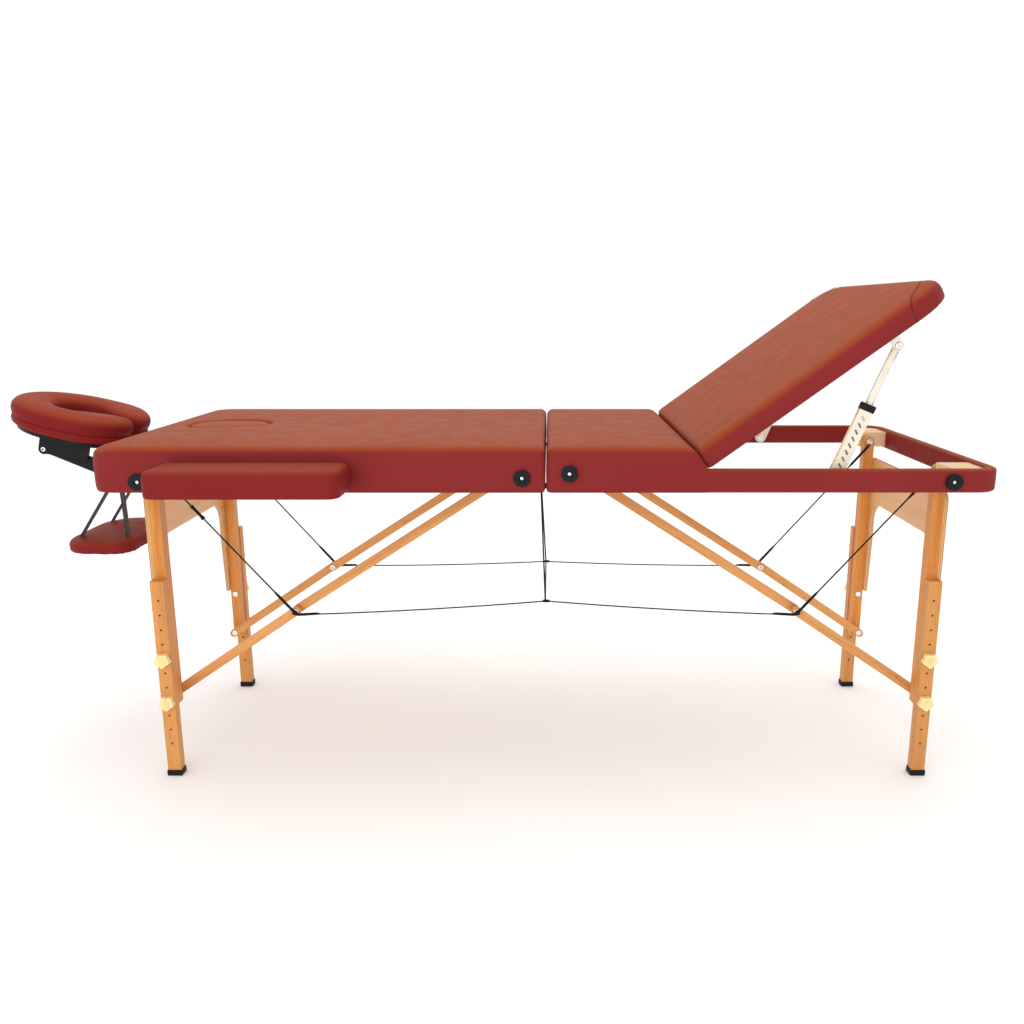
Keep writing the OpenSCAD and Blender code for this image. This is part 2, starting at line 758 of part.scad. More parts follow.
// plywood base with two pegs that plug into the rail, and two small tabs below
module armrest_base(side) color(beech) at_half(-1) at_side(side) {
    translate([armrest_d, armrest_y + armrest_w / 2, armrest_z]) linear_extrude(armrest_base_t)
        round_rect(armrest_len - 16, armrest_w, 25);
    for (k = [-1, 1]) {
        rod_y(armrest_d + k * peg_spacing / 2, peg_in, peg_z, peg_r, armrest_y - peg_in + 40);
        translate([armrest_d + k * tab_spacing / 2, armrest_y, armrest_z - 10])
            translate([-12, 0, 0]) cube([24, 20, 11]);
        rod_y(armrest_d + k * tab_spacing / 2, armrest_y, armrest_z - 10, 12, 20);
    }
}

head_frame();
head_deck();
head_pad();
head_blocks();
head_hardware();
head_bumpers();
face_hole_plug();
fold_pins();
foot_frame();
seat_deck();
seat_pad();
hinge_rail();
foot_blocks();
foot_bolts();
foot_hinge_leaves();
foot_bumpers();
backrest_board();
backrest_pad();
backrest_hinges();
ratchet_bars();
ratchet_channels();
head_upper_legs();
head_leg_panel();
head_leg_studs();
foot_upper_legs();
foot_leg_panel();
foot_leg_studs();
lower_leg(-1, 1);  // lower_leg_head_right
lower_leg(-1, -1);  // lower_leg_head_left
lower_leg(1, 1);  // lower_leg_foot_right
lower_leg(1, -1);  // lower_leg_foot_left
foot_cap(-1, 1);  // foot_cap_head_right
foot_cap(-1, -1);  // foot_cap_head_left
foot_cap(1, 1);  // foot_cap_foot_right
foot_cap(1, -1);  // foot_cap_foot_left
star_knob(-1, 1, knob_z);  // knob_head_right_top
star_knob(-1, 1, low_knob_z);  // knob_head_right_low
star_knob(-1, -1, knob_z);  // knob_head_left_top
star_knob(-1, -1, low_knob_z);  // knob_head_left_low
star_knob(1, 1, knob_z);  // knob_foot_right_top
star_knob(1, 1, low_knob_z);  // knob_foot_right_low
star_knob(1, -1, knob_z);  // knob_foot_left_top
star_knob(1, -1, low_knob_z);  // knob_foot_left_low
head_upper_braces();
head_lower_braces();
foot_upper_braces();
foot_lower_braces();
head_stays();
foot_stays();
drop_stays();
cradle_posts();
cradle_arms();
cradle_platform();
cradle_pad();
shelf_pad();
shelf_straps();
armrest_pad(1);  // armrest_pad_right
armrest_base(1);  // armrest_base_right
armrest_pad(-1);  // armrest_pad_left
armrest_base(-1);  // armrest_base_left
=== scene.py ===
"""Looks of the portable massage table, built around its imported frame.

All lengths are metres in the row frame.  "d" is the distance from the fold along either half:
side 1 is the foot half (+X) and side -1 the head half (-X).
"""
import math

import bmesh
import bpy
import numpy as np
from mathutils import Matrix, Vector, noise
from mathutils.geometry import delaunay_2d_cdt


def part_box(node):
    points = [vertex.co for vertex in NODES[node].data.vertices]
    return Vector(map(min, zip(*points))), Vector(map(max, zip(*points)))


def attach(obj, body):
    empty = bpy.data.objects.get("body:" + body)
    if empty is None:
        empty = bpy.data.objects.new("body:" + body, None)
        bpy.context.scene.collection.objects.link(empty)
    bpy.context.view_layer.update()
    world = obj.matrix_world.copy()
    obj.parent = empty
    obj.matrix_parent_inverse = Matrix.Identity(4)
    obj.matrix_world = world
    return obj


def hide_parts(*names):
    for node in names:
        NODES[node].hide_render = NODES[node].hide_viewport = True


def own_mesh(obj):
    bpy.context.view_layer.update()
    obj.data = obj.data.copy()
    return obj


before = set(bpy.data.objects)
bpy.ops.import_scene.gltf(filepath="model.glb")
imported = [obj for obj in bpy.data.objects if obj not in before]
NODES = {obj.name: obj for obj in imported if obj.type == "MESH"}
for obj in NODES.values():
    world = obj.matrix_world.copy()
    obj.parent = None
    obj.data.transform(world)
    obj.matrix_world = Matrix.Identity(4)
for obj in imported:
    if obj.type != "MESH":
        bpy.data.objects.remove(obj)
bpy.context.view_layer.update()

# ---------------------------------------------------------------- sizes


def centre(node, axis):
    lo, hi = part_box(node)
    return (lo[axis] + hi[axis]) / 2


# read from the frame
FOLD_X = centre("fold_pins", 0)
UNDER_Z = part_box("head_frame")[0][2]
RAIL_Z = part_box("head_frame")[1][2]
TOP_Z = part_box("head_pad")[1][2]
HALF_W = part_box("foot_frame")[1][1]
HALF_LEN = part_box("foot_frame")[1][0] - FOLD_X
# the rest repeat the part's own dimensions
RAIL_T = 0.022
RAIL_INNER_Y = 0.33
LEG_D = 0.850
LEG_PIVOT_Z = 0.704
KNUCKLE_D = 0.5696
KNUCKLE_Z = 0.3721
LOW_KNOB_Z = 0.1816
KNOB_Z = 0.2836
UP_BRACE_Y = 0.1615
LOW_BRACE_Y = 0.178
BRACE_TOP_D = 0.060
BRACE_TOP_Z = 0.701
BRACE_T = 0.012
STAY_Y = 0.197
NEAR_DIP = 0.400
FAR_DIP = 0.378
BACK_ANGLE = math.radians(36.3)
HINGE = Vector((FOLD_X + 0.330, 0, 0.723))
BACK_LEN = 0.587
BACK_HALF_W = 0.348
ARM_P = Vector((FOLD_X + 0.588, 0, 0.700))
ARM_Q = Vector((FOLD_X + 0.70031, 0, 0.97393))
CRADLE_SLOPE = math.radians(13.6)
ARM2_D = 1.148
ARM2_Z = 0.732
SHELF_D = 1.045
ARMREST_D = 0.578
PEG_HALF_SPACING = 0.120
PEG_Z = 0.700

RAISED = Matrix.Translation(HINGE) @ Matrix.Rotation(-BACK_ANGLE, 4, "Y")


def half_matrix(side):
    """From (d, y, z) on one half to the row frame."""
    m = Matrix.Translation((FOLD_X, 0, 0))
    return m if side > 0 else m @ Matrix.Scale(-1, 4, (1, 0, 0))


SLOPED = half_matrix(-1) @ Matrix.Translation((ARM2_D, 0, ARM2_Z)) @ Matrix.Rotation(-CRADLE_SLOPE, 4, "Y")

# ---------------------------------------------------------------- materials


def new_material(name):
    m = bpy.data.materials.new(name)
    m.use_nodes = True
    nt = m.node_tree
    nt.nodes.clear()
    out = nt.nodes.new("ShaderNodeOutputMaterial")
    bsdf = nt.nodes.new("ShaderNodeBsdfPrincipled")
    nt.links.new(bsdf.outputs["BSDF"], out.inputs["Surface"])
    return m, nt, bsdf


def node(nt, kind, **props):
    n = nt.nodes.new(kind)
    for k, v in props.items():
        setattr(n, k, v)
    return n


def coords(nt, scale=(1, 1, 1), angle_y=0.0, offset=(0, 0, 0)):
    tc = node(nt, "ShaderNodeTexCoord")
    turn = node(nt, "ShaderNodeMapping")
    turn.inputs["Rotation"].default_value = (0, angle_y, 0)
    turn.inputs["Location"].default_value = offset
    size = node(nt, "ShaderNodeMapping")
    size.inputs["Scale"].default_value = scale
    nt.links.new(tc.outputs["Object"], turn.inputs["Vector"])
    nt.links.new(turn.outputs["Vector"], size.inputs["Vector"])
    return size.outputs["Vector"]


def noise_tex(nt, vector, scale, detail=3.0, rough=0.55):
    n = node(nt, "ShaderNodeTexNoise")
    n.inputs["Scale"].default_value = scale
    n.inputs["Detail"].default_value = detail
    n.inputs["Roughness"].default_value = rough
    nt.links.new(vector, n.inputs["Vector"])
    return n.outputs["Fac"]


def ramp(nt, fac, stops):
    r = node(nt, "ShaderNodeValToRGB")
    els = r.color_ramp.elements
    while len(els) < len(stops):
        els.new(0.5)
    for e, (pos, col) in zip(els, stops):
        e.position = pos
        e.color = (*col, 1)
    nt.links.new(fac, r.inputs["Fac"])
    return r.outputs["Color"]


def mix(nt, fac, a, b, blend="MIX"):
    m = node(nt, "ShaderNodeMix", data_type="RGBA", blend_type=blend)
    for sock, v in ((m.inputs[0], fac), (m.inputs[6], a), (m.inputs[7], b)):
        if isinstance(v, (int, float)):
            sock.default_value = v
        elif isinstance(v, tuple):
            sock.default_value = (*v, 1)
        else:
            nt.links.new(v, sock)
    return m.outputs[2]


def map_range(nt, fac, lo, hi, out_lo=0.0, out_hi=1.0):
    n = node(nt, "ShaderNodeMapRange", interpolation_type="SMOOTHSTEP")
    nt.links.new(fac, n.inputs["Value"])
    for key, v in (("From Min", lo), ("From Max", hi), ("To Min", out_lo), ("To Max", out_hi)):
        n.inputs[key].default_value = v
    return n.outputs["Result"]


def bump(nt, height, strength, distance, after=None):
    b = node(nt, "ShaderNodeBump")
    b.inputs["Strength"].default_value = strength
    b.inputs["Distance"].default_value = distance
    nt.links.new(height, b.inputs["Height"])
    if after is not None:
        nt.links.new(after, b.inputs["Normal"])
    return b.outputs["Normal"]


GRAIN_CELLS = 620.0


def vinyl(name, top, side, up=(0, 0, 1)):
    """Grained vinyl with painted light: faces turned towards up are painted lighter and more orange as if lit
    from above, and the sides darker as if in shade.
    """
    m, nt, bsdf = new_material(name)
    vec = coords(nt)
    tc = node(nt, "ShaderNodeTexCoord")
    # painted light: faces turned towards up take the lit top colour, and the rest take the darker shaded side
    # colour
    dot = node(nt, "ShaderNodeVectorMath", operation="DOT_PRODUCT")
    dot.inputs[1].default_value = up
    nt.links.new(tc.outputs["Normal"], dot.inputs[0])
    colour = mix(nt, map_range(nt, dot.outputs["Value"], 0.25, 0.95), side, top)
    clouds = ramp(nt, noise_tex(nt, vec, 2.2, 2.0), [(0.3, (0.95, 0.93, 0.93)), (0.7, (1.03, 1.05, 1.05))])
    colour = mix(nt, 1.0, colour, clouds, "MULTIPLY")
    cells = node(nt, "ShaderNodeTexVoronoi", feature="DISTANCE_TO_EDGE")
    cells.inputs["Scale"].default_value = GRAIN_CELLS
    nt.links.new(vec, cells.inputs["Vector"])
    grain = map_range(nt, cells.outputs["Distance"], 0.0, 0.25)
    # painted shade: the grooves between the grain's cells are darkened as if in shade
    crease_shade = ramp(nt, grain, [(0.0, (0.93, 0.89, 0.89)), (1.0, (1, 1, 1))])
    colour = mix(nt, 1.0, colour, crease_shade, "MULTIPLY")
    nt.links.new(colour, bsdf.inputs["Base Color"])
    gloss = noise_tex(nt, vec, 26.0, 4.0)
    nt.links.new(map_range(nt, gloss, 0.3, 0.7, 0.50, 0.60), bsdf.inputs["Roughness"])
    bsdf.inputs["Specular IOR Level"].default_value = 0.07
    n1 = bump(nt, noise_tex(nt, vec, 6.0, 2.0), 0.18, 0.0014)
    nt.links.new(bump(nt, grain, 0.16, 0.00016, n1), bsdf.inputs["Normal"])
    return m


def wood(name, light, dark, angle_y=0.0, across=(1, 1), seed=0.0, along="Z"):
    """Beech-like wood with long grain streaks and short dark flecks."""
    m, nt, bsdf = new_material(name)
    squeeze = {"Z": (38 * across[0], 38 * across[1], 1.6), "Y": (38, 1.6, 38), "X": (1.6, 38, 38)}[along]
    vec = coords(nt, squeeze, angle_y, (seed, seed * 0.7, seed * 0.3))
    grain = noise_tex(nt, vec, 1.0, 5.0, 0.62)
    colour = ramp(nt, grain, [(0.28, dark), (0.52, light), (0.78, tuple(min(1, c * 1.12) for c in light))])
    fleck_scale = {"Z": (420, 420, 26), "Y": (420, 26, 420), "X": (26, 420, 420)}[along]
    flecks = noise_tex(nt, coords(nt, fleck_scale, angle_y, (seed, 0, 0)), 1.0, 2.0, 0.5)
    marks = ramp(nt, flecks, [(0.28, (0.80, 0.70, 0.60)), (0.42, (1, 1, 1))])
    colour = mix(nt, 1.0, colour, marks, "MULTIPLY")
    nt.links.new(colour, bsdf.inputs["Base Color"])
    nt.links.new(map_range(nt, grain, 0.3, 0.7, 0.36, 0.5), bsdf.inputs["Roughness"])
    bsdf.inputs["Specular IOR Level"].default_value = 0.25
    bsdf.inputs["Coat Weight"].default_value = 0.05
    bsdf.inputs["Coat Roughness"].default_value = 0.25
    nt.links.new(bump(nt, grain, 0.18, 0.0006), bsdf.inputs["Normal"])
    return m


def plywood(name, light, dark, thin_axis, pitch, origin=0.0):
    """Rotary-cut face veneer, and the dark and pale plies on the edges."""
    m, nt, bsdf = new_material(name)
    vec = coords(nt, (3.0, 3.0, 9.0))
    warp = noise_tex(nt, vec, 1.0, 2.0)
    rings = node(nt, "ShaderNodeTexWave", wave_type="BANDS", bands_direction="Z")
    rings.inputs["Scale"].default_value = 0.9
    rings.inputs["Distortion"].default_value = 7.0
    rings.inputs["Detail"].default_value = 3.0
    nt.links.new(coords(nt, (1.2, 2.0, 6.0)), rings.inputs["Vector"])
    face = ramp(nt, rings.outputs["Fac"], [(0.0, dark), (0.6, light)])
    face = mix(nt, map_range(nt, warp, 0.3, 0.7, 0.35, 0.75), face, light)
    tc = node(nt, "ShaderNodeTexCoord")
    place = node(nt, "ShaderNodeSeparateXYZ")
    nt.links.new(tc.outputs["Object"], place.inputs[0])
    layer = node(nt, "ShaderNodeMath", operation="PINGPONG")
    shift = node(nt, "ShaderNodeMath", operation="SUBTRACT")
    shift.inputs[1].default_value = origin
    nt.links.new(place.outputs[thin_axis], shift.inputs[0])
    nt.links.new(shift.outputs[0], layer.inputs[0])
    layer.inputs[1].default_value = pitch
    plies = map_range(nt, layer.outputs[0], pitch * 0.35, pitch * 0.65)
    edge = mix(nt, plies, tuple(c * 0.55 for c in dark), light)
    turned = node(nt, "ShaderNodeSeparateXYZ")
    nt.links.new(tc.outputs["Normal"], turned.inputs[0])
    flat = node(nt, "ShaderNodeMath", operation="ABSOLUTE")
    nt.links.new(turned.outputs[thin_axis], flat.inputs[0])
    colour = mix(nt, map_range(nt, flat.outputs[0], 0.55, 0.8), edge, face)
    nt.links.new(colour, bsdf.inputs["Base Color"])
    bsdf.inputs["Roughness"].default_value = 0.48
    bsdf.inputs["Coat Weight"].default_value = 0.08
    bsdf.inputs["Coat Roughness"].default_value = 0.3
    nt.links.new(bump(nt, rings.outputs["Fac"], 0.08, 0.0004), bsdf.inputs["Normal"])
    return m


def metal(name, colour, rough, scratch=140.0):
    m, nt, bsdf = new_material(name)
    vec = coords(nt)
    tone = ramp(nt, noise_tex(nt, vec, 60.0, 4.0), [(0.3, tuple(c * 0.82 for c in colour)), (0.7, colour)])
    nt.links.new(tone, bsdf.inputs["Base Color"])
    bsdf.inputs["Metallic"].default_value = 1.0
    fine = noise_tex(nt, coords(nt, (1, 1, 0.1)), scratch * 8, 2.0)
    nt.links.new(map_range(nt, fine, 0.3, 0.7, rough * 0.8, rough * 1.25), bsdf.inputs["Roughness"])
    nt.links.new(bump(nt, fine, 0.06, 0.0002), bsdf.inputs["Normal"])
    return m


def plain(name, colour, rough, grain=900.0, depth=0.0001, coat=0.0, spread=0.12, shine=0.5):
    """Moulded plastic, rubber or paint: mottled colour, uneven gloss and a fine texture."""
    m, nt, bsdf = new_material(name)
    vec = coords(nt)
    lo = tuple(c * (1 - spread) for c in colour)
    hi = tuple(min(1.0, c * (1 + spread)) for c in colour)
    nt.links.new(ramp(nt, noise_tex(nt, vec, 40.0, 3.0), [(0.3, lo), (0.7, hi)]), bsdf.inputs["Base Color"])
    fine = noise_tex(nt, vec, grain, 2.0)
    nt.links.new(map_range(nt, fine, 0.3, 0.7, rough * 0.85, min(1, rough * 1.15)), bsdf.inputs["Roughness"])
    bsdf.inputs["Specular IOR Level"].default_value = shine
    bsdf.inputs["Coat Weight"].default_value = coat
    bsdf.inputs["Coat Roughness"].default_value = 0.2
    nt.links.new(bump(nt, fine, 0.25, depth), bsdf.inputs["Normal"])
    return m


def webbing(name, colour):
    m, nt, bsdf = new_material(name)
    weave = []
    for angle in (0.785, -0.785):
        w = node(nt, "ShaderNodeTexWave", wave_type="BANDS", bands_direction="X")
        w.inputs["Scale"].default_value = 1.0
        nt.links.new(coords(nt, (260, 260, 260), angle), w.inputs["Vector"])
        weave.append(w.outputs["Fac"])
    both = mix(nt, 0.5, weave[0], weave[1])
    threads = ramp(nt, both, [(0.2, tuple(c * 0.5 for c in colour)), (0.8, colour)])
    nt.links.new(threads, bsdf.inputs["Base Color"])
    bsdf.inputs["Roughness"].default_value = 0.8
    bsdf.inputs["Sheen Weight"].default_value = 0.3
    nt.links.new(bump(nt, both, 0.5, 0.0004), bsdf.inputs["Normal"])
    return m


# painted light: the vinyl's top colour is painted lighter and more orange as if lit from above, and its side
# colour darker crimson as if in shade; the up directions below say which faces count as top on the raised
# backrest and the sloped cradle
VINYL_LIT_TOP = (0.292, 0.056, 0.014)
VINYL_SHADED_SIDE = (0.228, 0.022, 0.022)
BACK_UP = (-math.sin(BACK_ANGLE), 0, math.cos(BACK_ANGLE))
CRADLE_UP = (math.sin(CRADLE_SLOPE), 0, math.cos(CRADLE_SLOPE))
BEECH = (0.66, 0.26, 0.052)
BEECH_DARK = (0.48, 0.15, 0.024)
LOWER = (0.60, 0.265, 0.073)
LOWER_DARK = (0.48, 0.18, 0.042)
BRACE = (0.65, 0.30, 0.095)
BRACE_DARK = (0.50, 0.19, 0.048)
PLY = (0.76, 0.43, 0.19)
PLY_DARK = (0.65, 0.33, 0.125)
MAT = {
    "vinyl": vinyl("vinyl_red", VINYL_LIT_TOP, VINYL_SHADED_SIDE),
    "vinyl_back": vinyl("vinyl_backrest", VINYL_LIT_TOP, VINYL_SHADED_SIDE, BACK_UP),
    # these pairs are painted light too: a lit top colour first, then a shaded side colour
    "vinyl_cradle": vinyl("vinyl_cradle", (0.270, 0.040, 0.013), (0.195, 0.012, 0.012), CRADLE_UP),
    "vinyl_arm": vinyl("vinyl_armrest", (0.238, 0.030, 0.011), (0.205, 0.015, 0.015)),
    "vinyl_seam": vinyl("vinyl_seam", (0.180, 0.024, 0.010), (0.150, 0.010, 0.010)),
    "upper": wood("beech_upper_leg", BEECH, BEECH_DARK, seed=3.1),
    "lower": wood("beech_lower_leg", LOWER, LOWER_DARK, seed=7.7),
    "block": wood("beech_block", (0.78, 0.54, 0.32), (0.64, 0.38, 0.19), seed=1.3, along="X"),
    "rail": wood("beech_rail", (0.60, 0.36, 0.17), (0.45, 0.24, 0.10), seed=5.9, along="Y"),
    "panel": plywood("plywood_panel", PLY, PLY_DARK, 0, 0.0018),
    "deck": plywood("plywood_deck", (0.62, 0.40, 0.20), PLY_DARK, 2, 0.0013),
    "board": plywood("plywood_board", (0.62, 0.40, 0.20), PLY_DARK, 2, 0.0016),
    "zinc": metal("zinc_steel", (0.83, 0.81, 0.76), 0.30),
    "gold": metal("zinc_yellow", (0.80, 0.66, 0.42), 0.32),
    "pale": plain("channel_paint", (0.78, 0.72, 0.60), 0.32, 500.0, 0.00005, 0.2, 0.05),
    "bolt": metal("bolt_steel", (0.90, 0.90, 0.90), 0.22),
    "black": plain("black_paint", (0.008, 0.009, 0.010), 0.40, 700.0, 0.0001, 0.0, 0.12, 0.14),
    "rubber": plain("black_rubber", (0.009, 0.010, 0.013), 0.50, 1200.0, 0.0001, 0.0, 0.12, 0.14),
    "cable": plain("cable_sleeve", (0.010, 0.010, 0.010), 0.45, 300.0, 0.0003, 0.0, 0.12, 0.10),
    "knob": plain("cream_plastic", (0.86, 0.70, 0.32), 0.34, 800.0, 0.00005, 0.15, 0.05),
    "strap": webbing("black_webbing", (0.018, 0.018, 0.02)),
}


def brace_material(tag, side, angle):
    """Wood whose grain follows a sloping brace."""
    return wood(f"beech_{tag}", BRACE, BRACE_DARK, side * angle, seed=2.0 + side, along="X")


# ---------------------------------------------------------------- mesh helpers


def make_object(name, verts, faces, material, body, matrix=None, smooth=True):
    mesh = bpy.data.meshes.new(name)
    mesh.from_pydata([tuple(v) for v in verts], [], faces)
    if matrix is not None:
        mesh.transform(matrix)
        if matrix.determinant() < 0:
            mesh.flip_normals()
    bm = bmesh.new()
    bm.from_mesh(mesh)
    bmesh.ops.remove_doubles(bm, verts=bm.verts, dist=1e-5)
    bmesh.ops.recalc_face_normals(bm, faces=bm.faces)
    bm.to_mesh(mesh)
    bm.free()
    for p in mesh.polygons:
        p.use_smooth = smooth
    mesh.materials.append(material)
    obj = bpy.data.objects.new(name, mesh)
    bpy.context.scene.collection.objects.link(obj)
    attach(obj, body)
    return obj


def rounded_rect(x0, x1, hw, r0, r1, n=8, step=0.022):
    """outline(inset, nose) of a rectangle, r0 the radius of the corners at x0 and r1 at x1."""
    def outline(t, nose=0.0):
        xa, xb, h = x0 + t, x1 - t - nose, hw - t
        corners = [((xb, -h), r1, -90), ((xb, h), r1, 0), ((xa, h), r0, 90), ((xa, -h), r0, 180)]
        arcs = []
        for (cx, cy), r, a0 in corners:
            rr = max(r - t, 0.0006)
            ox = cx - rr if cx == xb else cx + rr
            oy = cy - rr if cy == h else cy + rr
            arcs.append([(ox + rr * math.cos(math.radians(a0 + 90 * i / n)),
                          oy + rr * math.sin(math.radians(a0 + 90 * i / n))) for i in range(n + 1)])
        spans = [2 * hw, x1 - x0, 2 * hw, x1 - x0]
        pts = []
        for k in range(4):
            pts += arcs[k]
            a, b = arcs[k][-1], arcs[(k + 1) % 4][0]
            m = max(2, int(spans[k] / step))
            pts += [(a[0] + (b[0] - a[0]) * i / m, a[1] + (b[1] - a[1]) * i / m) for i in range(1, m)]
        return pts
    return outline


def stadium(cx, cy, length, width, n=16):
    def outline(t, nose=0.0):
        r = width / 2 - t
        h = (length - width) / 2
        right = [(cx + h + r * math.cos(a), cy + r * math.sin(a))
                 for a in (math.radians(-90 + 180 * i / n) for i in range(n + 1))]
        left = [(cx - h + r * math.cos(a), cy + r * math.sin(a))
                for a in (math.radians(90 + 180 * i / n) for i in range(n + 1))]
        m = 4
        def line(a, b):
            return [(a[0] + (b[0] - a[0]) * i / m, a[1] + (b[1] - a[1]) * i / m) for i in range(1, m)]
        return right + line(right[-1], left[0]) + left + line(left[-1], right[0])
    return outline


def signed_distance(points, polygon):
    """Distance of each point from a polygon's edge, positive inside."""
    p = np.asarray(points, float)[:, None, :]
    a = np.asarray(polygon, float)[None, :, :]
    b = np.roll(a, -1, axis=1)
    ab = b - a
    t = np.clip(((p - a) * ab).sum(2) / np.maximum((ab * ab).sum(2), 1e-18), 0, 1)
    d = np.sqrt((((p - a) - ab * t[..., None]) ** 2).sum(2)).min(1)
    x, y = p[..., 0], p[..., 1]
    ya, yb = a[..., 1], b[..., 1]
    cross = (ya > y) != (yb > y)
    xs = a[..., 0] + (y - ya) * (b[..., 0] - a[..., 0]) / np.where(yb == ya, 1e-18, yb - ya)
    inside = (cross & (x < xs)).sum(1) % 2 == 1
    return np.where(inside, d, -d)


def edge_round(z_top, radius, steps=5, proud=0.0):
    """Profile points of the rounded top edge of a pad, after its side."""
    return [(radius * (1 - math.cos(a)) - proud * math.cos(a), z_top - radius * (1 - math.sin(a)))
            for a in (math.pi / 2 * i / steps for i in range(steps + 1))]


def ripple(x, y, z, size, height, seed):
    return height * noise.noise(Vector((x / size + seed, y / size, z / size)))


def slab(name, outline, profile, material, body, matrix=None, crown=0.0, reach=0.06,
         hole=None, hole_profile=(), grid=0.022, bottom=False, wobble=0.0, drop=None, ruffle=0.0, seed=0.0):
    """A padded form: rings up its side by profile [(inset, z[, nose])], then a crowned top.

    hole is an outline function whose negative inset grows it; hole_profile is [(growth, dz)],
    from the top surface down.  drop(x, y, z) says which faces to leave out.
    """
    rings = []
    for i, entry in enumerate(profile):
        t, z, nose = (*entry, 0.0)[:3]
        ring = outline(t, nose)
        if ruffle and i < 3:
            rings.append([(x, y, z + ripple(x, y, z, 0.012, ruffle, seed)) for x, y in ring])
        else:
            rings.append([(x, y, z) for x, y in ring])
    verts = [v for ring in rings for v in ring]
    n = len(rings[0])
    faces = []
    for k in range(len(rings) - 1):
        for i in range(n):
            j = (i + 1) % n
            faces.append((k * n + i, k * n + j, (k + 1) * n + j, (k + 1) * n + i))
    if bottom:
        faces.append(tuple(range(n - 1, -1, -1)))
    border = [(x, y) for x, y, _ in rings[-1]]
    z_edge = rings[-1][0][2]
    xs, ys = [p[0] for p in border], [p[1] for p in border]
    gx = np.arange(min(xs) + grid / 2, max(xs), grid)
    gy = np.arange(min(ys) + grid / 2, max(ys), grid)
    pts = np.array([(x, y) for x in gx for y in gy]) if len(gx) and len(gy) else np.zeros((0, 2))
    if len(pts):
        pts = pts[signed_distance(pts, border) > grid * 0.55]
    flat = [Vector(p) for p in border]
    edges = [(i, (i + 1) % n) for i in range(n)]
    hole_border = None
    if hole:
        hole_border = hole(-hole_profile[0][0])
        if len(pts):
            pts = pts[signed_distance(pts, hole_border) < -grid * 0.4]
        h0 = len(flat)
        flat += [Vector(p) for p in hole_border]
        edges += [(h0 + i, h0 + (i + 1) % len(hole_border)) for i in range(len(hole_border))]
    flat += [Vector(p) for p in pts]
    cv, _, cf, *_ = delaunay_2d_cdt(flat, edges, [], 0, 1e-6)
    cv = np.array([tuple(v) for v in cv])

    def surface(points):
        d = np.maximum(signed_distance(points, border), 0)
        z = z_edge + crown * (1 - np.exp(-d / reach))
        return [zz + wobble * noise.noise(Vector((p[0] * 7 + seed, p[1] * 7, seed))) * min(1, dd / 0.03)
                for zz, p, dd in zip(z, points, d)]

    base = len(verts)
    verts += [(x, y, z) for (x, y), z in zip(cv, surface(cv))]
    mids = np.array([cv[list(f)].mean(axis=0) for f in cf])
    keep = signed_distance(mids, border) > 0
    if hole_border is not None:
        keep &= signed_distance(mids, hole_border) < 0
    faces += [tuple(base + i for i in f) for f, k in zip(cf, keep) if k]
    if hole:
        top = surface(np.array(hole_border))
        hring = []
        for grow, dz in hole_profile:
            hring.append([(x, y, z + dz) for (x, y), z in zip(hole(-grow), top)])
        hn = len(hring[0])
        b0 = len(verts)
        verts += [v for r in hring for v in r]
        for k in range(len(hring) - 1):
            for i in range(hn):
                j = (i + 1) % hn
                faces.append((b0 + k * hn + i, b0 + k * hn + j, b0 + (k + 1) * hn + j, b0 + (k + 1) * hn + i))
    if drop:
        kept = []
        for f in faces:
            c = np.mean([verts[i] for i in f], axis=0)
            if not drop(*c):
                kept.append(f)
        faces = kept
    return make_object(name, verts, faces, material, body, matrix)


def ring_cover(name, outline, section, material, body, matrix=None):
    """A closed sweep of section [(inset, z)] round an outline."""
    rings = [[(x, y, z) for x, y in outline(t)] for t, z in section]
    verts = [v for r in rings for v in r]
    n, m = len(rings[0]), len(rings)
    faces = [(k * n + i, k * n + (i + 1) % n, ((k + 1) % m) * n + (i + 1) % n, ((k + 1) % m) * n + i)
             for k in range(m) for i in range(n)]
    return make_object(name, verts, faces, material, body, matrix)


def tube(name, points, radius, material, body, sides=10, matrix=None):
    """Round tube along points; radius may be one number or one for each point."""
    pts = [Vector(p) for p in points]
    radii = radius if isinstance(radius, (list, tuple)) else [radius] * len(pts)
    verts, faces = [], []
    ref = Vector((0, 0, 1))
    for i, p in enumerate(pts):
        t = (pts[min(i + 1, len(pts) - 1)] - pts[max(i - 1, 0)]).normalized()
        u = t.cross(ref if abs(t.dot(ref)) < 0.95 else Vector((0, 1, 0))).normalized()
        v = t.cross(u)
        for k in range(sides):
            a = 2 * math.pi * k / sides
            verts.append(p + (u * math.cos(a) + v * math.sin(a)) * radii[i])
    for i in range(len(pts) - 1):
        for k in range(sides):
            j = (k + 1) % sides
            faces.append((i * sides + k, i * sides + j, (i + 1) * sides + j, (i + 1) * sides + k))
    faces.append(tuple(range(sides)))
    faces.append(tuple(range((len(pts) - 1) * sides, len(pts) * sides)))
    return make_object(name, verts, faces, material, body, matrix)


